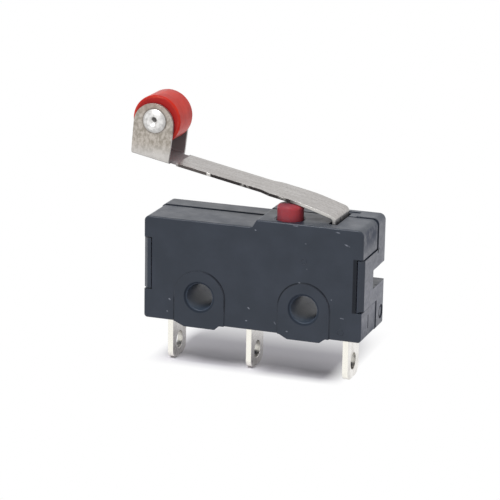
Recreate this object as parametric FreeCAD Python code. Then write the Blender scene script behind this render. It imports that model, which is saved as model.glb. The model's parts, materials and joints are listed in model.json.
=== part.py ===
"""Subminiature snap-action switch with a hinged roller lever.

Millimetres. +X runs from the contact end to the lever's hinge, +Y away from the
front face, +Z up. The origin lies midway between the two mounting holes, at half
the case thickness. The lever is drawn released.
"""

import FreeCAD, Part
import math
import os

V = FreeCAD.Vector

# Case, shared by the base and the cover
CASE_END = 9.9            # half length of the case
CASE_FACE = 3.2           # main faces, each side of the mid plane
PIVOT_X = CASE_END - 3.03   # hinge of the lever
PLUNGER_X = PIVOT_X - 4.01
PAD_FACE = 3.28           # faces of the raised mounting pads
FLOOR_Z = -2.4            # underside
FOOT_Z = -2.78            # underside of the two feet
LOW_TOP = 6.77            # top over the contacts
HIGH_TOP = 7.45           # top over the plunger and the hinge
STEP_X = (PLUNGER_X - 2.91, PLUNGER_X - 2.51)   # foot and head of the slope between the two tops
FEET_X = ((-6.97, -6.12, -3.29, -2.88), (2.6, 3.34, 6.22, 6.74))
FOOT_ROUND = 0.2
STEP_ROUND = 0.2
CORNER_R = {"floor": 0.3, "low": 0.45, "high": 0.55}
FACE_EDGE = 0.14          # rounding of the edges round both main faces
WALL = 0.8                # front and back walls
PART_Y = 1.0              # parting plane between base and cover
PART_GROOVE = (0.12, 0.16)   # width and depth of the visible parting line
COVER_PROUD = 0.06        # the cover's contour stands this much outside the base's
END_GROOVE_Y = (-1.25, -1.1)     # upright mould mark low on each end of the base
END_GROOVE_Z = (-1.6, -0.4)
END_DISC = (2.4, -1.1, 0.62)     # y, z and radius of the round mould mark on each end of the cover
MARK_DEPTH = 0.06

# Mounting holes
HOLE_PITCH = 9.5
HOLE_R = 1.2
HOLE_LEAD = 0.18          # chamfer at both ends of each hole
HOLE_X = (-HOLE_PITCH / 2, HOLE_PITCH / 2)
BOSS_R = 2.0              # wall round each hole inside the case
PAD_R = 2.3               # arched pad round each hole

# Inside of the case
CAVITY_END = CASE_END - 1.3
CAVITY_FLOOR = -1.5
CAVITY_TOP = 5.95
HINGE_TOP = 5.6           # lower ceiling under the hinge slot
COVER_CAVITY_RIGHT = CAVITY_END - 0.15
RIB = (0.45, 0.35, 1.2)   # terminal ribs: thickness, grip over the strip's edge, height of the top

# Base block that reaches over the cover at the plunger end
REACH_X = (STEP_X[1], CASE_END - 2.0)
REACH_Y = 2.5
REACH_GAP = 0.04

# Latch tabs of the cover
TAB_Z = (0.3, 4.8)
TAB_SUNK = {-1: 0.64, 1: 0.44}   # depth of the left and right tab in the case's ends
TAB_IN = {side: CASE_END - sunk for side, sunk in TAB_SUNK.items()}
TAB_OUT = CASE_END + 0.08
TAB_GAP = 0.1
TAB_TIP = 0.4             # chamfer on the outer edge of the tip
BARB_Y = (-2.2, -1.5)
BARB_DEPTH = 0.22
NOTCH_Z = (1.65, 3.3)     # slot through each tab, open at the back
NOTCH_FRONT = -0.25
NOTCH_FLOOR = CASE_END - 1.05

# Terminals, sheet bent from one strip each
SHEET = 0.5
LUG_W = 3.2
LUG_TIP = -6.55
LUG_CORNER = 0.45
LUG_HOLE_Z = -5.1
LUG_HOLE_R = 0.75
LUG_FIT = 0.03
BEND = 0.75               # outer bend radius of the terminal sheet
NC_X, NO_X, COM_X = -(CASE_END - 1.9), -0.7, CASE_END - 1.8
SHELF_CLEAR = 0.27        # air between a shelf and the hole wall below it
SHELF_UNDER_TOP = 0.1     # air between the top shelf and the ceiling
NC_SHELF_TOP = CAVITY_TOP - SHELF_UNDER_TOP
NO_SHELF_TOP = BOSS_R + SHELF_CLEAR + SHEET
COM_SHELF_TOP = NO_SHELF_TOP

# Contacts
CONTACT_R = 0.75
CONTACT_STEM_GAP = 0.5    # between the contacts and the stem beside them
CONTACT_X = NC_X + SHEET / 2 + CONTACT_STEM_GAP + CONTACT_R
CONTACT_RIM = 0.1         # sheet left beyond a contact
CONTACT_CROWN = 0.08
NC_SHELF_END = CONTACT_X + CONTACT_R + CONTACT_RIM
NO_SHELF_END = CONTACT_X - CONTACT_R - CONTACT_RIM
SHANK_R = 0.4
SHANK_HEAD = 0.08         # height of the formed end of a fixed contact's shank
MOVING_HEAD = 0.39
CONTACT_GAP = 0.52
TOUCH = 0.02              # play between parts that only touch

# Posts of the common terminal
POST_W = 1.3
HOOK_POST_X = COM_X - 1.2   # outer face of the post that the blade hooks on
HOOK_POST_TOP = 5.0
HOOK_WINDOW = 2.2         # length of the opening that the hook post is bent from
SEAT_POST_X = 1.2         # face of the post that the tongue pushes on
SEAT_POST_TOP = 4.0
SEAT_Z = 3.7
NOTCH = (0.13, 0.2)       # depth and half height of the notch in each post

# Snap blade
BLADE_Z = 4.3             # middle of the sheet
BLADE_T = 0.12
BLADE_END_BAR = 0.47      # bar that hooks round the post
BLADE_X = (CONTACT_X - CONTACT_R - CONTACT_RIM, HOOK_POST_X - NOTCH[0] + TOUCH / 2 + BLADE_END_BAR)
BLADE_W = 2.7
BLADE_CORNER = 0.4
WINDOW_X = (-3.8, BLADE_X[1] - BLADE_END_BAR)
WINDOW_W = POST_W + 0.3
TONGUE_W = 1.1
TONGUE_ROOT = (0.3, 1.2)  # overlap with the frame, and start of the first bend
TONGUE_DIP = (-1.3, 3.3)  # lowest corner of the bowed tongue
TONGUE_BENDS = (1.2, 2.2)

# Roller
ROLLER_R = 2.17
ROLLER_W = 3.2
ROLLER_EDGE = 0.22
ROLLER_SIDE_GAP = 0.14    # to the ear on each side

# Lever, one folded strip
LEVER_T = 0.26
LEVER_W = ROLLER_W + 2 * (ROLLER_SIDE_GAP + LEVER_T)
LEVER_NECK_W = LEVER_W - 0.6
LEVER_SLOPE = 0.2         # fall of the straight part per mm towards the hinge
LEVER_TOP_AT_0 = 9.79
LEVER_KNEE_R = 15.0
FOLD_Z = 8.05
FOLD_R = 0.55
NECK_TO_FULL_X = (0.2, 1.0)
PIVOT_Z = 6.8
LEVER_KNEE_X = PIVOT_X - 2.67
TRUNNION_H = 0.4
TRUNNION_W = LEVER_W + 1.0
TRUNNION_CLEAR = 0.1
SLOT_X = (PIVOT_X - 0.45, PIVOT_X + 0.33)
SLOT_FLOOR = PIVOT_Z - TRUNNION_H / 2 - TRUNNION_CLEAR
HINGE_TOP_X = PIVOT_X - 2.27   # start of the lower ceiling

# Bracket and axle of the roller
AXLE_X, AXLE_Z = -9.48, 14.9
EAR_ARC_X, EAR_ARC_Z = -9.6, 14.6
EAR_R = 1.82
EAR_FOOT_W = 3.44         # width across the foot of an ear
EAR_LEAN = 6.0            # degrees from upright, towards the hinge
EAR_BEND = 0.4            # outer bend radius where the ears fold up
AXLE_R = 0.7
AXLE_CLEAR = 0.05
RIVET_R = 1.04
RIVET_H = 0.36
RIVET_DIMPLE = (0.38, 0.16, 0.26)   # radius at the top and at the bottom, and depth, of the punch mark
RIVET_TAIL = (0.92, 0.24)     # radius and crown of the peened end
RIVET_RIM = 0.06          # straight edge below both crowns
RELIEF = (0.5, 0.3)       # length and depth of the relief cut beside each ear

# Plunger
PLUNGER_Y = -1.55
PLUNGER_R = 1.15
PLUNGER_CLEAR = 0.04
PLUNGER_CROWN = 3.2       # radius of the domed top
PLUNGER_ROUND = 0.3
BORE_RIM = 0.14           # lead-in round the bore in the case
FLANGE_Z = (CAVITY_TOP - 0.65, CAVITY_TOP - 0.07)
FLANGE_SIDES = (1.46, 1.44)
FLANGE_X = (PLUNGER_X - FLANGE_SIDES[0], PLUNGER_X + FLANGE_SIDES[1])
FLANGE_Y = (WALL + 0.2 - CASE_FACE, 1.3)
PUSHER_W = 1.0            # foot of the plunger that rests on the blade
STROKE = 1.0              # free travel kept below the flange


# Drawing helpers

def box(x, y, z):
    """Block between the limits given for each axis as (low, high)."""
    return Part.makeBox(x[1] - x[0], y[1] - y[0], z[1] - z[0], V(x[0], y[0], z[0]))


def cylinder(radius, start, end):
    """Round bar from point start to point end."""
    axis = V(*end) - V(*start)
    return Part.makeCylinder(radius, axis.Length, V(*start), axis)


def corner(before, at, after, radius):
    """Start, middle and end of the arc that rounds one corner of an x-z outline."""
    to_last = (V(*before) - V(*at)).normalize()
    to_next = (V(*after) - V(*at)).normalize()
    half = to_last.getAngle(to_next) / 2
    reach = radius / math.tan(half)
    bisector = (to_last + to_next).normalize()
    centre = V(*at) + bisector * (radius / math.sin(half))
    return V(*at) + to_last * reach, centre - bisector * radius, V(*at) + to_next * reach


def outline(corners, y=0.0):
    """Closed wire in a plane of constant y from (x, z, rounding) corners."""
    points = [(x, y, z) for x, z, _ in corners]
    edges, first, last = [], None, None
    for i, (_, _, radius) in enumerate(corners):
        here = points[i]
        if radius:
            start, middle, end = corner(points[i - 1], here, points[(i + 1) % len(points)], radius)
        else:
            start = end = V(*here)
        if last is None:
            first = start
        else:
            edges.append(Part.makeLine(last, start))
        if radius:
            edges.append(Part.Arc(start, middle, end).toShape())
        last = end
    edges.append(Part.makeLine(last, first))
    return Part.Wire(edges)


def slab(corners, y):
    """Outline extruded between the two y limits."""
    return Part.Face(outline(corners, y[0])).extrude(V(0, y[1] - y[0], 0))


def bent_sheet(face_line, radii, thick, y):
    """Sheet metal bent along an open x-z line.

    face_line holds the corners of one face of the sheet, radii the bend radius on
    that face at each inner corner. The sheet lies to the right of the line.
    """
    def side(offset):
        """Edges of the line moved sideways by offset, to the right."""
        line = [V(x, y[0], z) for x, z in face_line]
        right = [V(b.z - a.z, 0, a.x - b.x).normalize() for a, b in zip(line, line[1:])]
        edges, last = [], line[0] + right[0] * offset
        for i, radius in enumerate(radii, start=1):
            start, middle, end = corner(line[i - 1], line[i], line[i + 1], radius)
            turn = (line[i] - line[i - 1]).cross(line[i + 1] - line[i]).y
            centre = start + right[i - 1] * (radius if turn > 0 else -radius)
            start = start + right[i - 1] * offset
            end = end + right[i] * offset
            reach = radius - offset if turn > 0 else radius + offset
            middle = centre + (middle - centre).normalize() * reach
            edges += [Part.makeLine(last, start), Part.Arc(start, middle, end).toShape()]
            last = end
        edges.append(Part.makeLine(last, line[-1] + right[-1] * offset))
        return edges

    face, back = side(0.0), side(thick)
    ends = [Part.makeLine(face[-1].Vertexes[-1].Point, back[-1].Vertexes[-1].Point),
            Part.makeLine(back[0].Vertexes[0].Point, face[0].Vertexes[0].Point)]
    wire = Part.Wire(Part.__sortEdges__(face + back + ends))
    return Part.Face(wire).extrude(V(0, y[1] - y[0], 0))


def revolved(profile, base, axis):
    """Solid of revolution from (radius, height) points; base is the height zero."""
    points = [V(r, 0, h) for r, h in profile]
    face = Part.Face(Part.makePolygon(points + points[:1]))
    solid = face.revolve(V(0, 0, 0), V(0, 0, 1), 360)
    solid.Placement = FreeCAD.Placement(V(*base), FreeCAD.Rotation(V(0, 0, 1), V(*axis)))
    return solid


def dome(radius, height, steps=10):
    """Profile points of a shallow dome, from its rim to the axis."""
    sphere = (radius ** 2 + height ** 2) / (2 * height)
    opening = math.asin(radius / sphere)
    angles = [opening * (1 - i / steps) for i in range(steps + 1)]
    return [(sphere * math.sin(a), sphere * (math.cos(a) - 1) + height) for a in angles]


def fuse(first, *others):
    return first.multiFuse(list(others)).removeSplitter()


# Case

def case_corners(proud=0.0):
    """Outer contour seen from the front, counter-clockwise from the lower left.

    proud moves the ends and the two tops outwards.
    """
    end, low_top, high_top = CASE_END + proud, LOW_TOP + proud, HIGH_TOP + proud
    corners = [(-end, FLOOR_Z, CORNER_R["floor"])]
    for rise, down, up, fall in FEET_X:
        corners += [(rise, FLOOR_Z, FOOT_ROUND), (down, FOOT_Z, FOOT_ROUND),
                    (up, FOOT_Z, FOOT_ROUND), (fall, FLOOR_Z, FOOT_ROUND)]
    return corners + [(end, FLOOR_Z, CORNER_R["floor"]), (end, high_top, CORNER_R["high"]),
                      (STEP_X[1], high_top, STEP_ROUND), (STEP_X[0], low_top, STEP_ROUND),
                      (-end, low_top, CORNER_R["low"])]


def case_half(face_y, proud=0.0):
    """Solid half of the case from the parting plane to the main face at face_y."""
    body = slab(case_corners(proud), sorted((PART_Y, face_y)))
    rim = [e for e in body.Edges if all(abs(v.Y - face_y) < 1e-6 for v in e.Vertexes)]
    return body.makeFillet(FACE_EDGE, rim)


def pads(face_y, pad_y):
    """Arched pads round the mounting holes, with their feet."""
    low, high = sorted((pad_y, face_y + 0.3 * (1 if face_y < 0 else -1)))
    made = []
    for x in HOLE_X:
        arch = fuse(cylinder(PAD_R, (x, low, 0), (x, high, 0)),
                    box((x - PAD_R, x + PAD_R), (low, high), (FOOT_Z - 1, 0)))
        made.append(arch.common(slab(case_corners(), (low, high))))
    return made


def parting_groove():
    """Shallow ring that makes the parting line visible round the case."""
    width, depth = PART_GROOVE
    y = (PART_Y - width / 2, PART_Y + width / 2)
    inner = Part.Face(outline(case_corners(), y[0]).makeOffset2D(-depth)).extrude(V(0, width, 0))
    return slab(case_corners(COVER_PROUD), y).cut(inner)


def end_grooves():
    """Mould mark on each end of the base."""
    return [box(sorted((side * CASE_END, side * (CASE_END - MARK_DEPTH))), END_GROOVE_Y, END_GROOVE_Z)
            for side in (-1, 1)]


def end_discs():
    """Round mould mark on each end of the cover."""
    y, z, radius = END_DISC
    bottom = CASE_END + COVER_PROUD - MARK_DEPTH
    return [cylinder(radius, (side * bottom, y, z), (side * (CASE_END + 1), y, z)) for side in (-1, 1)]


def cavity(y, right):
    """Room for the contacts, with the walls round the mounting holes left standing."""
    room = slab([(-CAVITY_END, CAVITY_FLOOR, 0.4), (right, CAVITY_FLOOR, 0.3), (right, HINGE_TOP, 0.3),
                 (HINGE_TOP_X, HINGE_TOP, 0), (HINGE_TOP_X, CAVITY_TOP, 0),
                 (-CAVITY_END, CAVITY_TOP, 0.4)], y)
    for x in HOLE_X:
        room = room.cut(cylinder(BOSS_R, (x, y[0], 0), (x, y[1], 0)))
    return room


def mounting_bores():
    """Both holes with a small lead-in at each face."""
    bores = []
    lead = HOLE_LEAD
    for x in HOLE_X:
        profile = [(0, -PAD_FACE - 1), (HOLE_R + lead + 1, -PAD_FACE - 1), (HOLE_R + lead, -PAD_FACE),
                   (HOLE_R, -PAD_FACE + lead), (HOLE_R, PAD_FACE - lead), (HOLE_R + lead, PAD_FACE),
                   (HOLE_R + lead + 1, PAD_FACE + 1), (0, PAD_FACE + 1)]
        bores.append(revolved(profile, (x, 0, 0), (0, 1, 0)))
    return bores


def terminal_slots():
    """Slots in the floor for the three terminals."""
    reach = LUG_W / 2 + LUG_FIT
    half = SHEET / 2 + LUG_FIT
    return [box((x - half, x + half), (-reach, reach), (FOOT_Z - 1, CAVITY_FLOOR + 0.1))
            for x in (NC_X, NO_X, COM_X)]


def reach_block(grow=0.0, above=0.0):
    """Part of the base that reaches back over the cover beside the plunger."""
    return box((REACH_X[0] - grow, REACH_X[1] + grow), (PART_Y - grow, REACH_Y + grow),
               (CAVITY_TOP - grow, HIGH_TOP + above))


def hinge_slot():
    """Slot for the lever's upright leg, open at the back so that the lever can be laid in."""
    return box(SLOT_X, (-LEVER_W / 2 - TRUNNION_CLEAR, REACH_Y + 1), (SLOT_FLOOR, HIGH_TOP + 1))


def slot_tongue():
    """Tongue of the cover that shuts the hinge slot behind the leg and keeps the trunnion down."""
    return box((SLOT_X[0] + REACH_GAP, SLOT_X[1] - REACH_GAP),
               (LEVER_W / 2 + TRUNNION_CLEAR, REACH_Y + 2 * REACH_GAP),
               (PIVOT_Z + TRUNNION_H / 2 + TRUNNION_CLEAR, HIGH_TOP))


def trunnion_pocket(y):
    """Bearing pocket for one end of the lever's trunnion bar."""
    half = TRUNNION_H / 2 + TRUNNION_CLEAR
    return box((PIVOT_X - half, PIVOT_X + half), y, (SLOT_FLOOR, PIVOT_Z + half))


def tab_notch(side):
    """Slot through a latch tab and the cover behind it, open at the back."""
    tab = box((TAB_IN[side] - BARB_DEPTH, TAB_OUT + 1), (NOTCH_FRONT, PART_Y + 0.01), NOTCH_Z)
    behind = box((NOTCH_FLOOR, TAB_OUT + 1), (PART_Y, PAD_FACE + 1), NOTCH_Z)
    notch = tab.fuse(behind)
    return notch if side > 0 else notch.mirror(V(0, 0, 0), V(1, 0, 0))


def latch_tab(side):
    """Spring tab of the cover that reaches forward over one end of the base."""
    length = (-CASE_FACE, PART_Y + 0.6)
    inner = TAB_IN[side]
    plan = [(inner, length[0]), (TAB_OUT - TAB_TIP, length[0]), (TAB_OUT, length[0] + TAB_TIP),
            (TAB_OUT, length[1]), (inner, length[1])]
    barb = [(inner, BARB_Y[0]), (inner, BARB_Y[1]), (inner - BARB_DEPTH, BARB_Y[1])]
    points = [[V(x, y, TAB_Z[0]) for x, y in line + line[:1]] for line in (plan, barb)]
    tab, hook = [Part.Face(Part.makePolygon(p)).extrude(V(0, 0, TAB_Z[1] - TAB_Z[0])) for p in points]
    tab = fuse(tab, hook)
    return tab if side > 0 else tab.mirror(V(0, 0, 0), V(1, 0, 0))


def tab_recess(side):
    """Room in one end of the base for the tab and its barb."""
    z = (TAB_Z[0] - TAB_GAP, TAB_Z[1] + TAB_GAP)
    wall = TAB_IN[side] - TAB_GAP
    room = box((wall, CASE_END + 1), (-CASE_FACE - 1, PART_Y + 1), z)
    catch = box((wall - BARB_DEPTH, CASE_END), (BARB_Y[0] - TAB_GAP, BARB_Y[1] + TAB_GAP), z)
    room = room.fuse(catch)
    return room if side > 0 else room.mirror(V(0, 0, 0), V(1, 0, 0))


def guide_ribs():
    """Ribs on the base's inner face that hold the terminals upright."""
    y = (-CASE_FACE + WALL, -LUG_W / 2 - LUG_FIT)
    half = SHEET / 2 + LUG_FIT
    ribs = []
    for x in (NO_X, COM_X):
        for side in (-1, 1):
            near, far = x + side * half, x + side * (half + RIB[0])
            ribs.append(box(sorted((near, min(far, CAVITY_END))), (y[0] - 0.1, y[1] + RIB[1]),
                            (CAVITY_FLOOR - 0.1, RIB[2])))
    return ribs


def base_housing():
    """Front half: carries the terminals, guides the plunger and bears the lever."""
    floor_y = -CASE_FACE + WALL
    body = fuse(case_half(-CASE_FACE), *pads(-CASE_FACE, -PAD_FACE))
    body = body.cut(cavity((floor_y, PART_Y + 1), CAVITY_END))
    body = fuse(body, *guide_ribs(), reach_block())
    bore_r = PLUNGER_R + PLUNGER_CLEAR
    rim = revolved([(0, 0), (bore_r, 0), (bore_r + BORE_RIM, BORE_RIM), (bore_r + BORE_RIM, 1), (0, 1)],
                   (PLUNGER_X, PLUNGER_Y, HIGH_TOP - BORE_RIM), (0, 0, 1))
    cuts = [
        cylinder(bore_r, (PLUNGER_X, PLUNGER_Y, FLANGE_Z[0] - STROKE), (PLUNGER_X, PLUNGER_Y, HIGH_TOP + 1)),
        rim,
        hinge_slot(),
        trunnion_pocket((-TRUNNION_W / 2 - TRUNNION_CLEAR, 0)),
        tab_recess(1), tab_recess(-1), parting_groove(),
    ] + end_grooves()
    return body.cut(Part.makeCompound(cuts + terminal_slots() + mounting_bores()))


def cover():
    """Back half: closes the cavity and latches over both ends of the base."""
    body = fuse(case_half(CASE_FACE, COVER_PROUD), *pads(CASE_FACE, PAD_FACE))
    body = fuse(body, latch_tab(1), latch_tab(-1))
    cuts = [
        cavity((PART_Y - 1, CASE_FACE - WALL), COVER_CAVITY_RIGHT),
        reach_block(REACH_GAP, 1),
        tab_notch(1), tab_notch(-1), parting_groove(),
    ] + end_discs()
    body = body.cut(Part.makeCompound(cuts + terminal_slots() + mounting_bores()))
    return fuse(body, slot_tongue()).cut(trunnion_pocket((0, TRUNNION_W / 2 + TRUNNION_CLEAR)))


# Terminals and contacts

def terminal(x, shelf_top, shelf_end):
    """Lug, stem through the floor and shelf bent over inside the case."""
    outer = x - math.copysign(SHEET / 2, shelf_end - x)
    line = [(outer, LUG_TIP), (outer, shelf_top), (shelf_end, shelf_top)]
    if shelf_end < x:
        line.reverse()
    strip = bent_sheet(line, [BEND], SHEET, (-LUG_W / 2, LUG_W / 2))
    template = box((-20, 20), (-LUG_W / 2, LUG_W / 2), (LUG_TIP + LUG_CORNER, 20))
    tips = [cylinder(LUG_CORNER, (x - 1, y, LUG_TIP + LUG_CORNER), (x + 1, y, LUG_TIP + LUG_CORNER))
            for y in (-LUG_W / 2 + LUG_CORNER, LUG_W / 2 - LUG_CORNER)]
    foot = box((x - 1, x + 1), (-LUG_W / 2 + LUG_CORNER, LUG_W / 2 - LUG_CORNER), (LUG_TIP, 0))
    strip = strip.common(fuse(template, foot, *tips))
    return strip.cut(cylinder(LUG_HOLE_R, (x - 1, 0, LUG_HOLE_Z), (x + 1, 0, LUG_HOLE_Z)))


def rivet_hole(z):
    return cylinder(SHANK_R, (CONTACT_X, 0, z - 1), (CONTACT_X, 0, z + 1))


def contact_head(height):
    """Profile of a contact head: a disc of the given height with a slight crown."""
    rim = CONTACT_R - CONTACT_CROWN / 2
    return [(0, 0), (CONTACT_R, 0), (CONTACT_R, height - CONTACT_CROWN * 1.5)] + \
        [(r, h + height - CONTACT_CROWN) for r, h in dome(rim, CONTACT_CROWN)]


def nc_terminal():
    return terminal(NC_X, NC_SHELF_TOP, NC_SHELF_END).cut(rivet_hole(NC_SHELF_TOP - SHEET / 2))


def no_terminal():
    return terminal(NO_X, NO_SHELF_TOP, NO_SHELF_END).cut(rivet_hole(NO_SHELF_TOP - SHEET / 2))


def common_terminal():
    """Terminal whose shelf carries the hook post and the seat post of the blade."""
    body = terminal(COM_X, COM_SHELF_TOP, SEAT_POST_X + BEND)
    floor = COM_SHELF_TOP - SHEET
    half = POST_W / 2
    window = box((HOOK_POST_X - SHEET - HOOK_WINDOW, HOOK_POST_X), (-half - LUG_FIT, half + LUG_FIT),
                 (floor - SHEET, COM_SHELF_TOP + SHEET))
    posts = []
    for face_x, root_x, top in ((HOOK_POST_X - SHEET, HOOK_POST_X + BEND, HOOK_POST_TOP),
                                (SEAT_POST_X, SEAT_POST_X + BEND + SHEET, SEAT_POST_TOP)):
        line = [(root_x, floor), (face_x, floor), (face_x, top)]
        posts.append(bent_sheet(line, [BEND], SHEET, (-half, half)))
    depth, reach = NOTCH
    notches = [box(x, (-half, half), (z - reach, z + reach))
               for x, z in (((HOOK_POST_X - depth, HOOK_POST_X + SHEET), BLADE_Z),
                            ((SEAT_POST_X - SHEET, SEAT_POST_X + depth), SEAT_Z))]
    return fuse(body.cut(window), *posts).cut(Part.makeCompound(notches))


def fixed_contact(shelf_face, towards, reach):
    """Rivet in a terminal's shelf; towards is +1 for a head facing up."""
    head = revolved(contact_head(reach), (CONTACT_X, 0, shelf_face), (0, 0, towards))
    end = shelf_face - towards * (SHEET + SHANK_HEAD)
    return fuse(head, cylinder(SHANK_R, (CONTACT_X, 0, shelf_face), (CONTACT_X, 0, end)))


def nc_contact():
    under = NC_SHELF_TOP - SHEET
    return fixed_contact(under, -1, under - (BLADE_Z + BLADE_T / 2 + MOVING_HEAD + TOUCH))


def no_contact():
    face = BLADE_Z - BLADE_T / 2 - MOVING_HEAD - CONTACT_GAP
    return fixed_contact(NO_SHELF_TOP, 1, face - NO_SHELF_TOP)


def moving_contact():
    """Double-faced rivet at the free end of the blade."""
    half = BLADE_T / 2
    up = revolved(contact_head(MOVING_HEAD), (CONTACT_X, 0, BLADE_Z + half), (0, 0, 1))
    down = revolved(contact_head(MOVING_HEAD), (CONTACT_X, 0, BLADE_Z - half), (0, 0, -1))
    shank = cylinder(SHANK_R, (CONTACT_X, 0, BLADE_Z - BLADE_T), (CONTACT_X, 0, BLADE_Z + BLADE_T))
    return fuse(up, down, shank)


def snap_blade():
    """Spring sheet: an open frame with a bowed tongue that pushes on the seat post."""
    low, top = BLADE_Z - BLADE_T / 2, BLADE_Z + BLADE_T / 2
    frame = box(BLADE_X, (-BLADE_W / 2, BLADE_W / 2), (low, top))
    frame = frame.makeFillet(BLADE_CORNER, [e for e in frame.Edges if abs(e.tangentAt(0).z) > 0.9])
    window = box(WINDOW_X, (-WINDOW_W / 2, WINDOW_W / 2), (low - BLADE_T, top + BLADE_T))
    root = WINDOW_X[0] - TONGUE_ROOT[0]
    tip = (SEAT_POST_X + NOTCH[0] / 2, SEAT_Z)
    tongue = bent_sheet([(root, top), (root + TONGUE_ROOT[1], top), TONGUE_DIP, tip],
                        TONGUE_BENDS, BLADE_T, (-TONGUE_W / 2, TONGUE_W / 2))
    return fuse(frame.cut(window), tongue).cut(rivet_hole(BLADE_Z))


# Plunger

def plunger_crown_z():
    """Centre height of the domed top, just under the lever's lower face."""
    slope = math.atan(LEVER_SLOPE)
    under = lever_top(PLUNGER_X) - LEVER_T / math.cos(slope)
    return under - TOUCH - PLUNGER_CROWN / math.cos(slope)


def plunger():
    """Round pin with a domed top, a flange inside the case and a foot on the blade."""
    centre = plunger_crown_z()
    pin = cylinder(PLUNGER_R, (PLUNGER_X, PLUNGER_Y, FLANGE_Z[0]),
                   (PLUNGER_X, PLUNGER_Y, centre + PLUNGER_CROWN))
    crown = Part.makeSphere(PLUNGER_CROWN, V(PLUNGER_X, PLUNGER_Y, centre))
    keep = crown.fuse(cylinder(PLUNGER_CROWN, (PLUNGER_X, PLUNGER_Y, 0), (PLUNGER_X, PLUNGER_Y, centre)))
    pin = pin.common(keep)
    rim = [e for e in pin.Edges if abs(e.BoundBox.ZMin - e.BoundBox.ZMax) < 1e-6
           and e.BoundBox.ZMin > centre and e.Length > PLUNGER_R * 6]
    pin = pin.makeFillet(PLUNGER_ROUND, rim)
    flange = box(FLANGE_X, FLANGE_Y, FLANGE_Z)
    foot = box((PLUNGER_X - PUSHER_W / 2, PLUNGER_X + PUSHER_W / 2), (-BLADE_W / 2 - 0.1, BLADE_W / 2 - 0.1),
               (BLADE_Z + BLADE_T / 2 + TOUCH, FLANGE_Z[0]))
    return fuse(pin, flange, foot)


# Lever, roller and rivet

def lever_top(x):
    """Height of the straight part's upper face."""
    return LEVER_TOP_AT_0 - LEVER_SLOPE * x


def ear_height():
    """From the strip's upper face to the centre of the arc that ends an ear."""
    return EAR_ARC_Z - lever_top(EAR_ARC_X)


def ear_outline():
    """Corners of one bracket ear, from below the strip to the arc over the axle."""
    lean = math.radians(EAR_LEAN)
    up = (math.sin(lean), math.cos(lean))
    side = (math.cos(lean), -math.sin(lean))
    drop = ear_height() + EAR_R
    foot = (EAR_ARC_X - drop * up[0], EAR_ARC_Z - drop * up[1])
    arc = (EAR_ARC_X, EAR_ARC_Z)
    spread = ((foot, -EAR_FOOT_W / 2), (foot, EAR_FOOT_W / 2), (arc, EAR_R), (arc, -EAR_R))
    return [(base[0] + out * side[0], base[1] + out * side[1], 0) for base, out in spread]


def bracket():
    """U-shaped end of the strip: floor and two ears folded up from it."""
    slope = math.degrees(math.atan(LEVER_SLOPE))
    half, height = LEVER_W / 2, ear_height() + 2 * EAR_R
    section = bent_sheet([(half, height), (half, -LEVER_T), (-half, -LEVER_T), (-half, height)],
                         [EAR_BEND, EAR_BEND], LEVER_T, (-2 * EAR_R, 2 * EAR_R))
    section.rotate(V(0, 0, 0), V(0, 0, 1), 90)
    section.rotate(V(0, 0, 0), V(0, 1, 0), slope)
    section.translate(V(EAR_ARC_X, 0, lever_top(EAR_ARC_X)))
    ear = slab(ear_outline(), (-half - 1, half + 1))
    ear = ear.fuse(cylinder(EAR_R, (EAR_ARC_X, -half - 1, EAR_ARC_Z), (EAR_ARC_X, half + 1, EAR_ARC_Z)))
    return section.common(ear.removeSplitter())


def lever():
    """Strip from the trunnion bar in the case to the roller bracket, one folded piece."""
    ear_right = EAR_ARC_X - ear_height() * math.sin(math.radians(EAR_LEAN)) + EAR_R
    half, neck = LEVER_W / 2, LEVER_NECK_W / 2
    start = ear_right - LEVER_T
    face = [(start, lever_top(start)), (LEVER_KNEE_X, lever_top(LEVER_KNEE_X)),
            (PIVOT_X + LEVER_T / 2, FOLD_Z), (PIVOT_X + LEVER_T / 2, PIVOT_Z - TRUNNION_H / 2)]
    strip = bent_sheet(face, [LEVER_KNEE_R, FOLD_R], LEVER_T, (-half, half))
    relief_x, relief_y = ear_right + RELIEF[0], neck - RELIEF[1]
    widen, full = NECK_TO_FULL_X
    plan = [(start - 1, relief_y), (relief_x, relief_y), (relief_x, neck), (widen, neck),
            (full, half), (full, half + 1), (start - 1, half + 1)]
    for side in (-1, 1):
        points = [V(x, side * y, 7) for x, y in plan + plan[:1]]
        strip = strip.cut(Part.Face(Part.makePolygon(points)).extrude(V(0, 0, 8)))
    bar = box((PIVOT_X - LEVER_T / 2, PIVOT_X + LEVER_T / 2), (-TRUNNION_W / 2, TRUNNION_W / 2),
              (PIVOT_Z - TRUNNION_H / 2, PIVOT_Z + TRUNNION_H / 2))
    body = fuse(strip, bracket(), bar)
    return body.cut(cylinder(AXLE_R + TOUCH, (AXLE_X, -half - 1, AXLE_Z), (AXLE_X, half + 1, AXLE_Z)))


def roller():
    """Plastic roller, free on the rivet."""
    bore, flat, half = AXLE_R + AXLE_CLEAR, ROLLER_R - ROLLER_EDGE, ROLLER_W / 2
    body = cylinder(ROLLER_R, (AXLE_X, -half, AXLE_Z), (AXLE_X, half, AXLE_Z))
    body = body.makeFillet(ROLLER_EDGE, [e for e in body.Edges if e.Length > flat * 6 and e.isClosed()])
    return body.cut(cylinder(bore, (AXLE_X, -half - 1, AXLE_Z), (AXLE_X, half + 1, AXLE_Z)))


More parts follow.
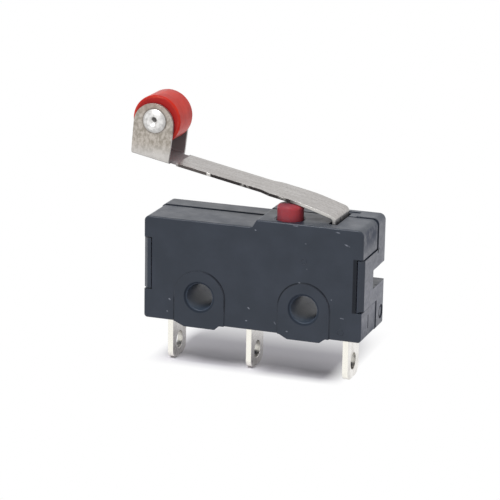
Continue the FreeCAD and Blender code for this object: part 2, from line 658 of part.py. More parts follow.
def roller_rivet():
    """Rivet through both ears: domed head in front, peened end behind."""
    half = LEVER_W / 2
    mouth, bottom, depth = RIVET_DIMPLE
    crown = [(r, h + RIVET_RIM) for r, h in dome(RIVET_R, RIVET_H - RIVET_RIM) if r > mouth]
    head = [(0, 0), (RIVET_R, 0)] + crown + [(bottom, RIVET_H - depth), (0, RIVET_H - depth)]
    front = revolved(head, (AXLE_X, -half, AXLE_Z), (0, -1, 0))
    tail = [(0, 0), (RIVET_TAIL[0], 0)] + [(r, h + RIVET_RIM) for r, h in dome(*RIVET_TAIL)]
    back = revolved(tail, (AXLE_X, half, AXLE_Z), (0, 1, 0))
    return fuse(cylinder(AXLE_R, (AXLE_X, -half, AXLE_Z), (AXLE_X, half, AXLE_Z)), front, back)


PARTS = {
    "base_housing": base_housing,
    "cover": cover,
    "common_terminal": common_terminal,
    "no_terminal": no_terminal,
    "nc_terminal": nc_terminal,
    "no_contact": no_contact,
    "nc_contact": nc_contact,
    "moving_contact": moving_contact,
    "snap_blade": snap_blade,
    "plunger": plunger,
    "lever": lever,
    "roller": roller,
    "roller_rivet": roller_rivet,
}


def main():
    os.makedirs("parts", exist_ok=True)
    for name, build in PARTS.items():
        build().exportStep("parts/" + name + ".step")


main()
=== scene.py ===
"""Dressed scene of the roller lever micro switch.

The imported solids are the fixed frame. Every node keeps its solid shape and gets a
procedural finish, apart from the three terminals: closed copies with rounded tips and
edges stand for them. The small raised rings that the mould left are added here too.
"""

import json
import logging
import math
from collections.abc import Callable
from dataclasses import dataclass
from enum import Enum

import bmesh
import bpy
from mathutils import Matrix, Vector

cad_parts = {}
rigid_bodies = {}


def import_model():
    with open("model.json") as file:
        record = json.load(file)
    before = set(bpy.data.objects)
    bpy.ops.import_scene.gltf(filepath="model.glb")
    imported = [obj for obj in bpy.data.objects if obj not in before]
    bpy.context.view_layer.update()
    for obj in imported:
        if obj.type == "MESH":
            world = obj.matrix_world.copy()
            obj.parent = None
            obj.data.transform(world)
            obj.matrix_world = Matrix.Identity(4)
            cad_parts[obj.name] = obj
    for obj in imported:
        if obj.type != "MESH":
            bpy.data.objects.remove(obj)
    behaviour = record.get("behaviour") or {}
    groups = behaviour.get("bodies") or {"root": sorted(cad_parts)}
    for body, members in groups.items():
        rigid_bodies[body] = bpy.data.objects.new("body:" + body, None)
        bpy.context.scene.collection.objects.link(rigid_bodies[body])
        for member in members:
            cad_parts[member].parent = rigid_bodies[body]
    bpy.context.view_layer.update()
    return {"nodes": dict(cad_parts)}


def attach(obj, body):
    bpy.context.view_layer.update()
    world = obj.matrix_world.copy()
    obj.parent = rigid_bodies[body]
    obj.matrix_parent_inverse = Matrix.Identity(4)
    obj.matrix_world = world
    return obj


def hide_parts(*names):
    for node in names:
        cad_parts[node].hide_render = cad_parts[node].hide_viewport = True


LOG = logging.getLogger("micro_switch")
MM = 0.001

Material = bpy.types.Material
Nodes = dict[str, bpy.types.Object]
Socket = bpy.types.NodeSocket
Triple = tuple[float, float, float]
# Noise: features per metre, and octaves of detail.
Pattern = tuple[float, float]
# Bump: height in metres, and share of the effect.
Lift = tuple[float, float]
# Oval mark: centre on the face, half length and half width in millimetres, and turn in degrees.
Stroke = tuple[float, float, float, float, float]

ORIGIN: Triple = (0.0, 0.0, 0.0)
WHITE = (1.0, 1.0, 1.0, 1.0)
FRONT_Y = -3.2 * MM
END_X = 9.9 * MM
FLOOR_Z = -6.55 * MM
AXLE: Triple = (-9.48 * MM, 0.0, 14.9 * MM)
END_MARK: Triple = (END_X, 2.40 * MM, -1.10 * MM)


class Grain(Enum):
    """Direction in which a sheet was rolled, as the turn of its pattern about Y."""

    ALONG_LEVER = math.atan(0.2)
    ALONG_LUG = math.pi / 2
    ALONG_BLADE = 0.0


class Face(Enum):
    """A face of the case that carries marks, as its two axes and its normal's axis."""

    FRONT = (0, 2, 1)
    TOP = (0, 1, 2)


@dataclass(frozen=True)
class Ramp:
    """Two levels of a value, and the results that it fades between from one to the other."""

    low: float
    high: float
    at_low: float = 0.0
    at_high: float = 1.0


@dataclass(frozen=True)
class Window:
    """A stretch of a value: where it starts, is whole, starts to fade and ends."""

    start: float
    whole: float
    fade: float
    end: float


@dataclass(frozen=True)
class Mottle:
    """A noise pattern that fades between two results."""

    scale: float
    detail: float
    ramp: Ramp


@dataclass(frozen=True)
class Relief:
    """A noise pattern that lifts the surface, by a depth in metres."""

    scale: float
    detail: float
    depth: float
    strength: float


class NodeGraph:
    """A material's node tree with short calls for the nodes that the finishes share."""

    bevel_samples: int = 6
    edge_turn: Ramp = Ramp(0.80, 0.985, 1.0, 0.0)
    side_turn: Ramp = Ramp(0.70, 0.85)
    stroke_fade: Ramp = Ramp(0.55, 1.0, 1.0, 0.0)
    stroke_depth: float = 0.4 * MM
    streak_detail: float = 4.0

    def __init__(self, name: str) -> None:
        """Start an empty material.

        Args:
            name: name of the material.
        """
        self.material = bpy.data.materials.new(name)
        self.material.use_nodes = True
        self.tree = self.material.node_tree
        self.tree.nodes.clear()
        self.output = self.add("ShaderNodeOutputMaterial")
        self.surface = self.add("ShaderNodeBsdfPrincipled")
        self.link(self.surface.outputs["BSDF"], self.output.inputs["Surface"])
        coordinates = self.add("ShaderNodeTexCoord")
        self.place = coordinates.outputs["Object"]
        self.surface_normal = coordinates.outputs["Normal"]

    def add(self, kind: str) -> bpy.types.Node:
        """Add a node of the named type."""
        return self.tree.nodes.new(kind)

    def link(self, source: Socket, target: Socket) -> None:
        """Join an output socket to an input socket."""
        self.tree.links.new(source, target)

    def math(self, operation: str, first: Socket, second: Socket | float = 0.0) -> Socket:
        """Result of a Math node.

        Args:
            operation: name of the operation.
            first: first value.
            second: second value or number.

        Returns:
            The value socket.
        """
        node = self.add("ShaderNodeMath")
        node.operation = operation
        self.link(first, node.inputs[0])
        if isinstance(second, (int, float)):
            node.inputs[1].default_value = second
        else:
            self.link(second, node.inputs[1])
        return node.outputs["Value"]

    def product(self, first: Socket, *others: Socket | float) -> Socket:
        """All the values multiplied.

        Args:
            first: first value.
            others: the other values or numbers.

        Returns:
            The value socket.
        """
        for other in others:
            first = self.math("MULTIPLY", first, other)
        return first

    def either(self, first: Socket, *others: Socket) -> Socket:
        """The largest of the values.

        Args:
            first: first value.
            others: the other values.

        Returns:
            The value socket.
        """
        for other in others:
            first = self.math("MAXIMUM", first, other)
        return first

    def shared(self, first: Socket, second: Socket, share: float) -> Socket:
        """First value times its share, with the second value times the rest added."""
        return self.math("ADD", self.product(first, share), self.product(second, 1.0 - share))

    def ramp(self, value: Socket, ramp: Ramp) -> Socket:
        """Value moved from a ramp's levels to its results, and kept between them.

        Args:
            value: the value to move.
            ramp: its levels and results.

        Returns:
            The value socket.
        """
        node = self.add("ShaderNodeMapRange")
        for name, number in (("From Min", ramp.low), ("From Max", ramp.high),
                             ("To Min", ramp.at_low), ("To Max", ramp.at_high)):
            node.inputs[name].default_value = number
        self.link(value, node.inputs["Value"])
        return node.outputs["Result"]

    def inverse(self, mask: Socket) -> Socket:
        """Mask of what a mask leaves out."""
        return self.ramp(mask, Ramp(0.0, 1.0, 1.0, 0.0))

    def window(self, value: Socket, window: Window) -> Socket:
        """Mask of a value that is 1 where the window is whole and 0 outside it."""
        rising = self.ramp(value, Ramp(window.start, window.whole))
        return self.product(rising, self.ramp(value, Ramp(window.fade, window.end, 1.0, 0.0)))

    def split(self, vector: Socket) -> dict[str, Socket]:
        """Parts of a vector.

        Args:
            vector: the vector.

        Returns:
            Its X, Y and Z value sockets by name.
        """
        node = self.add("ShaderNodeSeparateXYZ")
        self.link(vector, node.inputs["Vector"])
        return {name: node.outputs[name] for name in "XYZ"}

    def joined(self, **parts: Socket) -> Socket:
        """Vector made of parts, with 0 for a part that isn't given.

        Args:
            parts: value sockets by the names X, Y and Z.

        Returns:
            The vector socket.
        """
        node = self.add("ShaderNodeCombineXYZ")
        for name, part in parts.items():
            self.link(part, node.inputs[name])
        return node.outputs["Vector"]

    def length(self, vector: Socket) -> Socket:
        """Length of a vector.

        Args:
            vector: the vector.

        Returns:
            The value socket.
        """
        node = self.add("ShaderNodeVectorMath")
        node.operation = "LENGTH"
        self.link(vector, node.inputs[0])
        return node.outputs["Value"]

    def axes(self) -> dict[str, Socket]:
        """Object coordinates one by one, in metres."""
        return self.split(self.place)

    def facing(self, axis: str, turn: Ramp = side_turn) -> Socket:
        """Mask of the surface by how much of its normal lies along an axis, either way."""
        return self.ramp(self.math("ABSOLUTE", self.split(self.surface_normal)[axis]), turn)

    def radius(self, centre: Triple, axis: str = "Y") -> Socket:
        """Distance from an axis.

        Args:
            centre: a point on the axis, in metres.
            axis: direction of the axis, X, Y or Z.

        Returns:
            A value socket in metres.
        """
        axes = self.axes()
        return self.length(self.joined(**{name: self.math("SUBTRACT", axes[name], middle)
                                          for name, middle in zip("XYZ", centre) if name != axis}))

    def lathe(self, centre: Triple) -> Socket:
        """Coordinates of a turned piece: distance from the Y axis through a point, and place along it."""
        return self.joined(X=self.radius(centre), Y=self.math("SUBTRACT", self.axes()["Y"], centre[1]))

    def mapped(self, centre: Triple, turn: float, stretch: Triple) -> Socket:
        """Object coordinates moved to a centre, turned about Y and stretched.

        Args:
            centre: point that becomes the origin, in metres.
            turn: turn about Y in radians.
            stretch: scale along each turned axis.

        Returns:
            The vector socket of the mapped coordinates.
        """
        vector = self.place
        for name, value in (("Location", [-middle for middle in centre]), ("Rotation", (0.0, -turn, 0.0)),
                            ("Scale", stretch)):
            step = self.add("ShaderNodeMapping")
            step.inputs[name].default_value = value
            self.link(vector, step.inputs["Vector"])
            vector = step.outputs["Vector"]
        return vector

    def noise(self, scale: float, detail: float, vector: Socket | None = None) -> Socket:
        """Noise value from 0 to 1.

        Args:
            scale: features per metre.
            detail: octaves.
            vector: coordinates in metres, where they aren't the object's own.

        Returns:
            The value socket.
        """
        node = self.add("ShaderNodeTexNoise")
        node.inputs["Scale"].default_value = scale
        node.inputs["Detail"].default_value = detail
        self.link(self.place if vector is None else vector, node.inputs["Vector"])
        return node.outputs["Fac"]

    def mottle(self, mottle: Mottle, vector: Socket | None = None) -> Socket:
        """Result of a mottle, on the object's own coordinates if no others are given."""
        return self.ramp(self.noise(mottle.scale, mottle.detail, vector), mottle.ramp)

    def streaks(self, grain: Grain, stretch: float, scale: float) -> Socket:
        """Noise of a scale across the rolling direction, drawn out along it to a share of that scale."""
        return self.noise(scale, self.streak_detail, self.mapped(ORIGIN, grain.value, (stretch, 1.0, 1.0)))

    def blend(self, amount: Socket, first: Socket | Triple, second: Socket | Triple) -> Socket:
        """Colour between two colours.

        Args:
            amount: 0 for the first colour, 1 for the second.
            first: a colour or a colour socket.
            second: a colour or a colour socket.

        Returns:
            The colour socket.
        """
        node = self.add("ShaderNodeMix")
        node.data_type = "RGBA"
        self.link(amount, node.inputs["Factor"])
        for socket, colour in ((node.inputs[6], first), (node.inputs[7], second)):
            if isinstance(colour, tuple):
                socket.default_value = (*colour, 1.0)
            else:
                self.link(colour, socket)
        return node.outputs[2]

    def between(self, amount: Socket, first: Socket, second: float) -> Socket:
        """Value between a socket and a number.

        Args:
            amount: 0 for the socket, 1 for the number.
            first: the socket.
            second: the number.

        Returns:
            The value socket.
        """
        node = self.add("ShaderNodeMix")
        node.inputs[3].default_value = second
        self.link(amount, node.inputs[0])
        self.link(first, node.inputs[2])
        return node.outputs[0]

    def rounded(self, radius: float) -> Socket:
        """Normal that turns softly over sharp edges.

        Args:
            radius: radius of the softened edge in metres.

        Returns:
            The normal socket.
        """
        node = self.add("ShaderNodeBevel")
        node.samples = self.bevel_samples
        node.inputs["Radius"].default_value = radius
        return node.outputs["Normal"]

    def edge_share(self, normal: Socket) -> Socket:
        """How near a point is to a sharp edge, from a softened normal.

        Args:
            normal: the softened normal.

        Returns:
            A value socket, 0 on the flat and up to 1 at an edge.
        """
        flat = self.add("ShaderNodeNewGeometry")
        dot = self.add("ShaderNodeVectorMath")
        dot.operation = "DOT_PRODUCT"
        self.link(normal, dot.inputs[0])
        self.link(flat.outputs["True Normal"], dot.inputs[1])
        return self.ramp(dot.outputs["Value"], self.edge_turn)

    def bump(self, height: Socket, lift: Lift, under: Socket) -> Socket:
        """Normal raised by a height.

        Args:
            height: height from 0 to 1.
            lift: depth in metres that 1 stands for, and share of the effect.
            under: normal of the coarser form below this one.

        Returns:
            The normal socket.
        """
        node = self.add("ShaderNodeBump")
        for name, number in zip(("Distance", "Strength"), lift):
            node.inputs[name].default_value = number
        self.link(height, node.inputs["Height"])
        self.link(under, node.inputs["Normal"])
        return node.outputs["Normal"]

    def relief(self, normal: Socket, *reliefs: Relief) -> Socket:
        """Normal raised by noise patterns, from coarse to fine.

        Args:
            normal: normal of the form below them.
            reliefs: the patterns.

        Returns:
            The normal socket.
        """
        for relief in reliefs:
            height = self.noise(relief.scale, relief.detail)
            normal = self.bump(height, (relief.depth, relief.strength), normal)
        return normal

    def strokes(self, marks: tuple[Stroke, ...], face: Face, level: float) -> Socket:
        """Small oval marks on a flat face.

        Args:
            marks: the marks.
            face: which face of the case they are on.
            level: place of the face along its normal, in metres.

        Returns:
            A value socket, 1 inside a mark.
        """
        first, second, normal = face.value
        insides = []
        for across, along, length, width, turn in marks:
            oval = self.add("ShaderNodeMapping")
            oval.vector_type = "TEXTURE"
            for axis, centre, half in ((first, across * MM, length * MM), (second, along * MM, width * MM),
                                       (normal, level, self.stroke_depth)):
                oval.inputs["Location"].default_value[axis] = centre
                oval.inputs["Scale"].default_value[axis] = half
            oval.inputs["Rotation"].default_value[normal] = math.radians(turn)
            self.link(self.place, oval.inputs["Vector"])
            insides.append(self.ramp(self.length(oval.outputs["Vector"]), self.stroke_fade))
        return self.either(*insides)

    def finish(self, colour: Socket, satin: Socket, normal: Socket, **values: float | Triple) -> Material:
        """Join the maps to the surface shader and set its constants.

        Args:
            colour: base colour.
            satin: roughness.
            normal: normal.
            values: constants by socket name, with _ for its spaces.

        Returns:
            The finished material.
        """
        for name, socket in (("Base Color", colour), ("Roughness", satin), ("Normal", normal)):
            self.link(socket, self.surface.inputs[name])
        self.set(**values)
        return self.material

    def set(self, **values: float | Triple) -> None:
        """Set constants on the surface shader.

        Args:
            values: numbers and colours by socket name, with _ for its spaces.
        """
        for name, value in values.items():
            socket = self.surface.inputs[name.replace("_", " ")]
            socket.default_value = (*value, 1.0) if name.endswith("Tint") else value


@dataclass(frozen=True)
class CaseMasks:
    """Where the case's finish changes, as value sockets of its material."""

    edges: Socket
    ends: Socket
    leads: Socket
    walls: Socket
    seams_and_shade: Socket


@dataclass(frozen=True)
class MouldedCase:
    """Slate black plastic, satin from the mould, glossier in the bores, with rubbed edges and flecks, and
    painted light: edge highlights, glints on the top, a painted reflection on the ends and the bore walls,
    and painted shade beside the latch and along the pads.
    """

    colour: Triple = (0.010, 0.017, 0.028)
    cloud: Triple = (0.017, 0.025, 0.039)
    clouds: Mottle = Mottle(420.0, 4.0, Ramp(0.38, 0.72))
    edge: float = 0.06 * MM
    # worn: lighter sharp edges, partly rubbed wear and partly painted edge highlight.
    worn: Triple = (0.050, 0.056, 0.070)
    chafing: Mottle = Mottle(1500.0, 3.0, Ramp(0.40, 0.66))
    end_turn: Ramp = Ramp(0.75, 0.95)
    # Painted reflection: the end faces are painted lighter and bluer, most at mid height, speckled.
    end_sheen_colour: Triple = (0.112, 0.117, 0.150)
    speckle: Mottle = Mottle(3600.0, 5.0, Ramp(0.36, 0.64, 0.45, 1.0))
    end_sheen_low_z: Ramp = Ramp(-2.2 * MM, -0.3 * MM, 0.30, 0.92)
    end_sheen_high_z: Ramp = Ramp(1.9 * MM, 6.4 * MM, 1.0, 0.30)
    bore_x: float = 4.75 * MM
    bore_fade: float = 1.06
    lead_radius: float = 1.37 * MM
    wall_radius: float = 1.205 * MM
    # Painted reflection: the bore walls are painted lighter and bluer.
    bore_wall_sheen: Triple = (0.046, 0.066, 0.096)
    bore_wall_sheen_share: float = 0.9
    # Dark colour of the parting line and mould mark, and of the painted shade beside the latch and along the
    # pads.
    seam_and_shade_colour: Triple = (0.004, 0.005, 0.007)
    seam_and_shade_share: float = 0.8
    parting_y: Window = Window(0.84 * MM, 0.88 * MM, 1.14 * MM, 1.18 * MM)
    parting_z: Ramp = Ramp(4.45 * MM, 4.6 * MM)
    parting_turn: Ramp = Ramp(0.3, 0.6, 1.0, 0.0)
    # Painted shade along the foot of the arched pads.
    pad: Window = Window(2.24 * MM, 2.29 * MM, 2.37 * MM, 2.42 * MM)
    pad_shade_patches: Mottle = Mottle(480.0, 3.0, Ramp(0.40, 0.58, 0.15, 1.0))
    # Painted shadow of the groove beside the right latch tab.
    latch_x: Window = Window(9.0 * MM, 9.08 * MM, 9.37 * MM, 9.45 * MM)
    latch_y: Ramp = Ramp(FRONT_Y, FRONT_Y + 0.1 * MM, 1.0, 0.0)
    latch_z: Window = Window(0.1 * MM, 0.25 * MM, 4.85 * MM, 5.0 * MM)
    mark_ring: Window = Window(0.382 * MM, 0.432 * MM, 0.60 * MM, 0.65 * MM)
    mark_x: Ramp = Ramp(9.5 * MM, 9.595 * MM)
    fleck_and_glint: Triple = (0.20, 0.215, 0.25)
    ragged: Mottle = Mottle(6000.0, 2.0, Ramp(0.35, 0.60, 0.15, 0.9))
    top_z: float = 7.45 * MM
    # Painted glints on the top, near the pin and at the front edge.
    glints: tuple[Stroke, ...] = ((1.66, -2.2, 0.34, 0.05, 80.0), (4.6, -3.05, 0.30, 0.05, 3.0))
    flecks: tuple[Stroke, ...] = (
        (4.79, 5.82, 0.09, 0.06, 0.0), (4.31, 2.35, 0.12, 0.08, 0.0), (4.95, 3.62, 0.07, 0.05, 0.0),
        (8.47, 6.06, 0.30, 0.07, 22.0), (8.2, -0.38, 0.22, 0.06, 8.0), (7.2, 1.15, 0.06, 0.05, 0.0),
        (-0.2, -0.45, 0.16, 0.07, 35.0), (-0.4, -1.6, 0.12, 0.06, 0.0), (-7.5, -0.5, 0.14, 0.09, 40.0),
        (-7.7, -1.62, 0.09, 0.10, 0.0), (2.2, -1.5, 0.16, 0.07, 60.0), (3.3, -2.1, 0.14, 0.08, 0.0),
        (0.3, 6.55, 0.10, 0.06, 15.0), (7.6, 7.1, 0.26, 0.07, 5.0), (3.9, 7.28, 0.30, 0.05, 4.0))
    rub: Mottle = Mottle(900.0, 5.0, Ramp(0.3, 0.75, 0.30, 0.44))
    rub_turn: float = 0.35
    rub_stretch: Triple = (0.25, 1.0, 2.2)
    dirt_roughness: float = 0.95
    bore_roughness: float = 0.42
    scuffs: Mottle = Mottle(700.0, 4.0, Ramp(0.42, 0.58, 0.25, 0.9))
    dull_patches: Mottle = Mottle(850.0, 3.0, Ramp(0.36, 0.60, 0.08, 0.75))
    dull_z: Ramp = Ramp(5.3 * MM, 6.4 * MM)
    foot_z: Ramp = Ramp(-2.2 * MM, -0.4 * MM, 0.55, 0.0)
    sink: Relief = Relief(260.0, 2.0, 0.03 * MM, 0.35)
    pores: Relief = Relief(3600.0, 3.0, 0.016 * MM, 0.8)
    grain: Relief = Relief(9000.0, 2.0, 0.006 * MM, 0.7)
    ior: float = 1.53
    specular_tint: Triple = (0.93, 0.94, 1.0)
    sheen: float = 0.10
    sheen_roughness: float = 0.35
    sheen_tint: Triple = (0.62, 0.70, 1.0)

    def material(self) -> Material:
        """Build the finish.

        Returns:
            The material.
        """
        graph = NodeGraph("case_plastic")
        soft = graph.rounded(self.edge)
        seams_and_shade = graph.either(self._parting(graph), self._mark(graph), self._latch(graph), self._pads(graph))
        masks = CaseMasks(graph.edge_share(soft), graph.facing("X", self.end_turn),
                          self._bores(graph, self.lead_radius), self._bores(graph, self.wall_radius), seams_and_shade)
        return graph.finish(self._colour(graph, masks), self._satin(graph, masks),
                            graph.relief(soft, self.sink, self.pores, self.grain),
                            IOR=self.ior, Specular_Tint=self.specular_tint, Sheen_Weight=self.sheen,
                            Sheen_Roughness=self.sheen_roughness, Sheen_Tint=self.sheen_tint)

    def _colour(self, graph: NodeGraph, masks: CaseMasks) -> Socket:
        """Clouded plastic under rubbed edges with painted highlights, a painted reflection on the ends and
        bore walls, dark seams and painted shade, flecks and painted glints.

        Args:
            graph: the tree of this finish.
            masks: where it changes.

        Returns:
            The colour socket.
        """
        base = graph.blend(graph.mottle(self.clouds), self.colour, self.cloud)
        # Lighter sharp edges: partly rubbed wear, partly painted edge highlight.
        edge_wear_and_highlight = graph.product(masks.edges, graph.mottle(self.chafing), graph.inverse(masks.leads))
        base = graph.blend(edge_wear_and_highlight, base, self.worn)
        height = graph.axes()["Z"]
        # Painted reflection: the end faces painted lighter and bluer, most at mid height.
        end_sheen_mask = graph.product(masks.ends, graph.ramp(height, self.end_sheen_low_z), graph.ramp(height, self.end_sheen_high_z),
                              graph.mottle(self.speckle))
        base = graph.blend(end_sheen_mask, base, self.end_sheen_colour)
        # Painted reflection on the bore walls.
        base = graph.blend(graph.product(masks.walls, self.bore_wall_sheen_share), base, self.bore_wall_sheen)
        # Dark parting line and mould mark, with painted shade beside the latch and along the pads.
        base = graph.blend(graph.product(masks.seams_and_shade, self.seam_and_shade_share), base, self.seam_and_shade_colour)
        # Light flecks on the front, and painted glints on the top.
        marks = graph.either(graph.strokes(self.flecks, Face.FRONT, FRONT_Y),
                             graph.strokes(self.glints, Face.TOP, self.top_z))
        return graph.blend(graph.product(marks, graph.mottle(self.ragged)), base, self.fleck_and_glint)

    def _satin(self, graph: NodeGraph, masks: CaseMasks) -> Socket:
        """Roughness of the moulded skin, the bores, the seams and painted-shade lines, the edges and the dull
        ends.

        Args:
            graph: the tree of this finish.
            masks: where it changes.

        Returns:
            The value socket.
        """
        satin = graph.mottle(self.rub, graph.mapped(ORIGIN, self.rub_turn, self.rub_stretch))
        satin = graph.between(masks.leads, satin, self.dirt_roughness)
        satin = graph.between(masks.walls, satin, self.bore_roughness)
        axes = graph.axes()
        base_half = graph.ramp(axes["Y"], Ramp(self.parting_y.whole, self.parting_y.fade, 1.0, 0.0))
        worn_z = graph.either(graph.ramp(axes["Z"], self.dull_z), graph.ramp(axes["Z"], self.foot_z))
        dull = graph.product(masks.ends, worn_z, base_half, graph.mottle(self.dull_patches))
        scuffed = graph.product(masks.edges, graph.mottle(self.scuffs))
        return graph.between(graph.either(masks.seams_and_shade, scuffed, dull), satin, self.dirt_roughness)

    def _bores(self, graph: NodeGraph, radius: float) -> Socket:
        """Mask of what lies near the axes of both mounting bores.

        Args:
            graph: the tree of this finish.
            radius: reach of the mask in metres.

        Returns:
            A value socket, 1 inside the bores.
        """
        fade = Ramp(radius, radius * self.bore_fade, 1.0, 0.0)
        left, right = (graph.ramp(graph.radius((x, 0.0, 0.0)), fade) for x in (-self.bore_x, self.bore_x))
        return graph.either(left, right)

    def _parting(self, graph: NodeGraph) -> Socket:
        """Mask of the dirty line where the two halves meet on the top.

        Args:
            graph: the tree of this finish.

        Returns:
            A value socket, 1 on the line.
        """
        axes = graph.axes()
        return graph.product(graph.window(axes["Y"], self.parting_y), graph.facing("Y", self.parting_turn),
                             graph.ramp(axes["Z"], self.parting_z))

    def _mark(self, graph: NodeGraph) -> Socket:
        """Mask of a darker ring round the mould mark low on each end."""
        ring = graph.window(graph.radius(END_MARK, "X"), self.mark_ring)
        return graph.product(ring, graph.ramp(graph.math("ABSOLUTE", graph.axes()["X"]), self.mark_x))

    def _latch(self, graph: NodeGraph) -> Socket:
        """Mask of the painted shadow of the tab's groove on the front face beside the right latch tab.

        Args:
            graph: the tree of this finish.

        Returns:
            A value socket, 1 beside the tab.
        """
        axes = graph.axes()
        return graph.product(graph.window(axes["X"], self.latch_x), graph.window(axes["Z"], self.latch_z),
                             graph.ramp(axes["Y"], self.latch_y))

    def _pads(self, graph: NodeGraph) -> Socket:
        """Mask of the painted shade along the foot of the arched pads.

        Args:
            graph: the tree of this finish.

        Returns:
            A value socket, 1 in the painted shade.
        """
        axes = graph.axes()
        above = graph.math("MAXIMUM", axes["Z"], 0.0)
        lines = []
        for middle in (-self.bore_x, self.bore_x):
            reach = graph.length(graph.joined(X=graph.math("SUBTRACT", axes["X"], middle), Y=above))
            lines.append(graph.window(reach, self.pad))
        return graph.product(graph.either(*lines), graph.facing("Y"), graph.mottle(self.pad_shade_patches))


@dataclass(frozen=True)
class RollerTones:
    """Tones on a roller: a painted highlight on the rim, darker red flat sides and painted shade at the back
    edge.
    """

    # Painted highlight on the rim's fillet, in patches.
    rim: Window = Window(1.93 * MM, 1.97 * MM, 2.05 * MM, 2.09 * MM)
    rim_highlight: Triple = (0.56, 0.055, 0.030)
    rim_highlight_patches: Mottle = Mottle(900.0, 2.0, Ramp(0.38, 0.62, 0.10, 0.75))
    side: Triple = (0.38, 0.018, 0.018)
    side_share: float = 0.8
    # Painted shade along the back edge of the roller.
    back_shade_y: Ramp = Ramp(1.40 * MM, 1.52 * MM, 0.0, 0.75)
    painted_shade: Triple = (0.13, 0.012, 0.034)

    def over(self, graph: NodeGraph, base: Socket, centre: Triple) -> Socket:
        """Colour of the plastic with these tones over it.

        Args:
            graph: the tree of the finish.
            base: colour of the plastic.
            centre: a point on the roller's axis, in metres.

        Returns:
            The colour socket.
        """
        base = graph.blend(graph.product(graph.facing("Y"), self.side_share), base, self.side)
        # Painted highlight on the rim.
        rim_highlight_mask = graph.product(graph.window(graph.radius(centre), self.rim), graph.mottle(self.rim_highlight_patches))
        base = graph.blend(rim_highlight_mask, base, self.rim_highlight)
        # Painted shade at the back edge.
        return graph.blend(graph.ramp(graph.axes()["Y"], self.back_shade_y), base, self.painted_shade)


@dataclass(frozen=True)
class RedPlastic:
    """Coloured plastic with soft depth and faint moulding rings round its axis."""

    name: str
    colour: Triple
    deep: Triple
    centre: Triple
    roller_tones: RollerTones | None = None
    clouds: Mottle = Mottle(700.0, 3.0, Ramp(0.35, 0.7))
    rings: Pattern = (7000.0, 3.0)
    scuffs: Pattern = (2500.0, 4.0)
    ring_share: float = 0.45
    satin: Ramp = Ramp(0.35, 0.68, 0.28, 0.42)
    edge: float = 0.05 * MM
    sink: Relief = Relief(650.0, 2.0, 0.02 * MM, 0.25)
    ring_lift: Lift = (0.003 * MM, 0.4)
    ior: float = 1.46
    specular: float = 0.16
    depth_share: float = 0.15
    depth: float = 0.5 * MM
    depth_colour: Triple = (1.0, 0.2, 0.1)

    def material(self) -> Material:
        """Build the finish.

        Returns:
            The material.
        """
        graph = NodeGraph(self.name)
        base = graph.blend(graph.mottle(self.clouds), self.colour, self.deep)
        if self.roller_tones is not None:
            base = self.roller_tones.over(graph, base, self.centre)
        rings = graph.noise(*self.rings, graph.lathe(self.centre))
        satin = graph.ramp(graph.shared(rings, graph.noise(*self.scuffs), self.ring_share), self.satin)
        normal = graph.bump(rings, self.ring_lift, graph.relief(graph.rounded(self.edge), self.sink))
        return graph.finish(base, satin, normal, IOR=self.ior, Specular_IOR_Level=self.specular,
                            Subsurface_Weight=self.depth_share, Subsurface_Scale=self.depth,
                            Subsurface_Radius=self.depth_colour)


@dataclass(frozen=True)
class StreakedSheet:
    """Sheet metal with the streaks of its rolling direction and patches of tarnish."""

    name: str
    colour: Triple
    tarnish: Triple
    grain: Grain
    stretch: float
    streaks: float
    patches: Pattern
    satin: Ramp
    edge: float
    dents: Relief
    patch_colour: Ramp = Ramp(0.42, 0.70)
    streak_share: float = 0.5
    streak_lift: Lift = (0.0025 * MM, 0.5)

    def material(self) -> Material:
        """Build the finish.

        Returns:
            The material.
        """
        graph = NodeGraph(self.name)
        lines = graph.streaks(self.grain, self.stretch, self.streaks)
        patch = graph.noise(*self.patches)
        base = graph.blend(graph.ramp(patch, self.patch_colour), self.colour, self.tarnish)
        satin = graph.ramp(graph.shared(lines, patch, self.streak_share), self.satin)
        normal = graph.bump(lines, self.streak_lift, graph.relief(graph.rounded(self.edge), self.dents))
        return graph.finish(self._over(graph, base, lines), satin, normal, Metallic=1.0)

    def _over(self, graph: NodeGraph, base: Socket, lines: Socket) -> Socket:
        """Colour with what lies over the patches, which each kind of sheet gives."""
        raise NotImplementedError


@dataclass(frozen=True)
class SpringBronze(StreakedSheet):
    """Bronze spring sheet, with tarnish along its streaks too."""

    name: str = "spring_bronze"
    colour: Triple = (0.62, 0.38, 0.20)
    tarnish: Triple = (0.42, 0.24, 0.12)
    grain: Grain = Grain.ALONG_BLADE
    stretch: float = 0.03
    streaks: float = 3200.0
    patches: Pattern = (900.0, 5.0)
    satin: Ramp = Ramp(0.36, 0.66, 0.22, 0.38)
    edge: float = 0.06 * MM
    dents: Relief = Relief(480.0, 2.0, 0.02 * MM, 0.3)
    streak_colour: Ramp = Ramp(0.35, 0.75, 0.0, 0.35)

    def _over(self, graph: NodeGraph, base: Socket, lines: Socket) -> Socket:
        """Colour of the patches with tarnish along the streaks."""
        return graph.blend(graph.ramp(lines, self.streak_colour), base, self.tarnish)


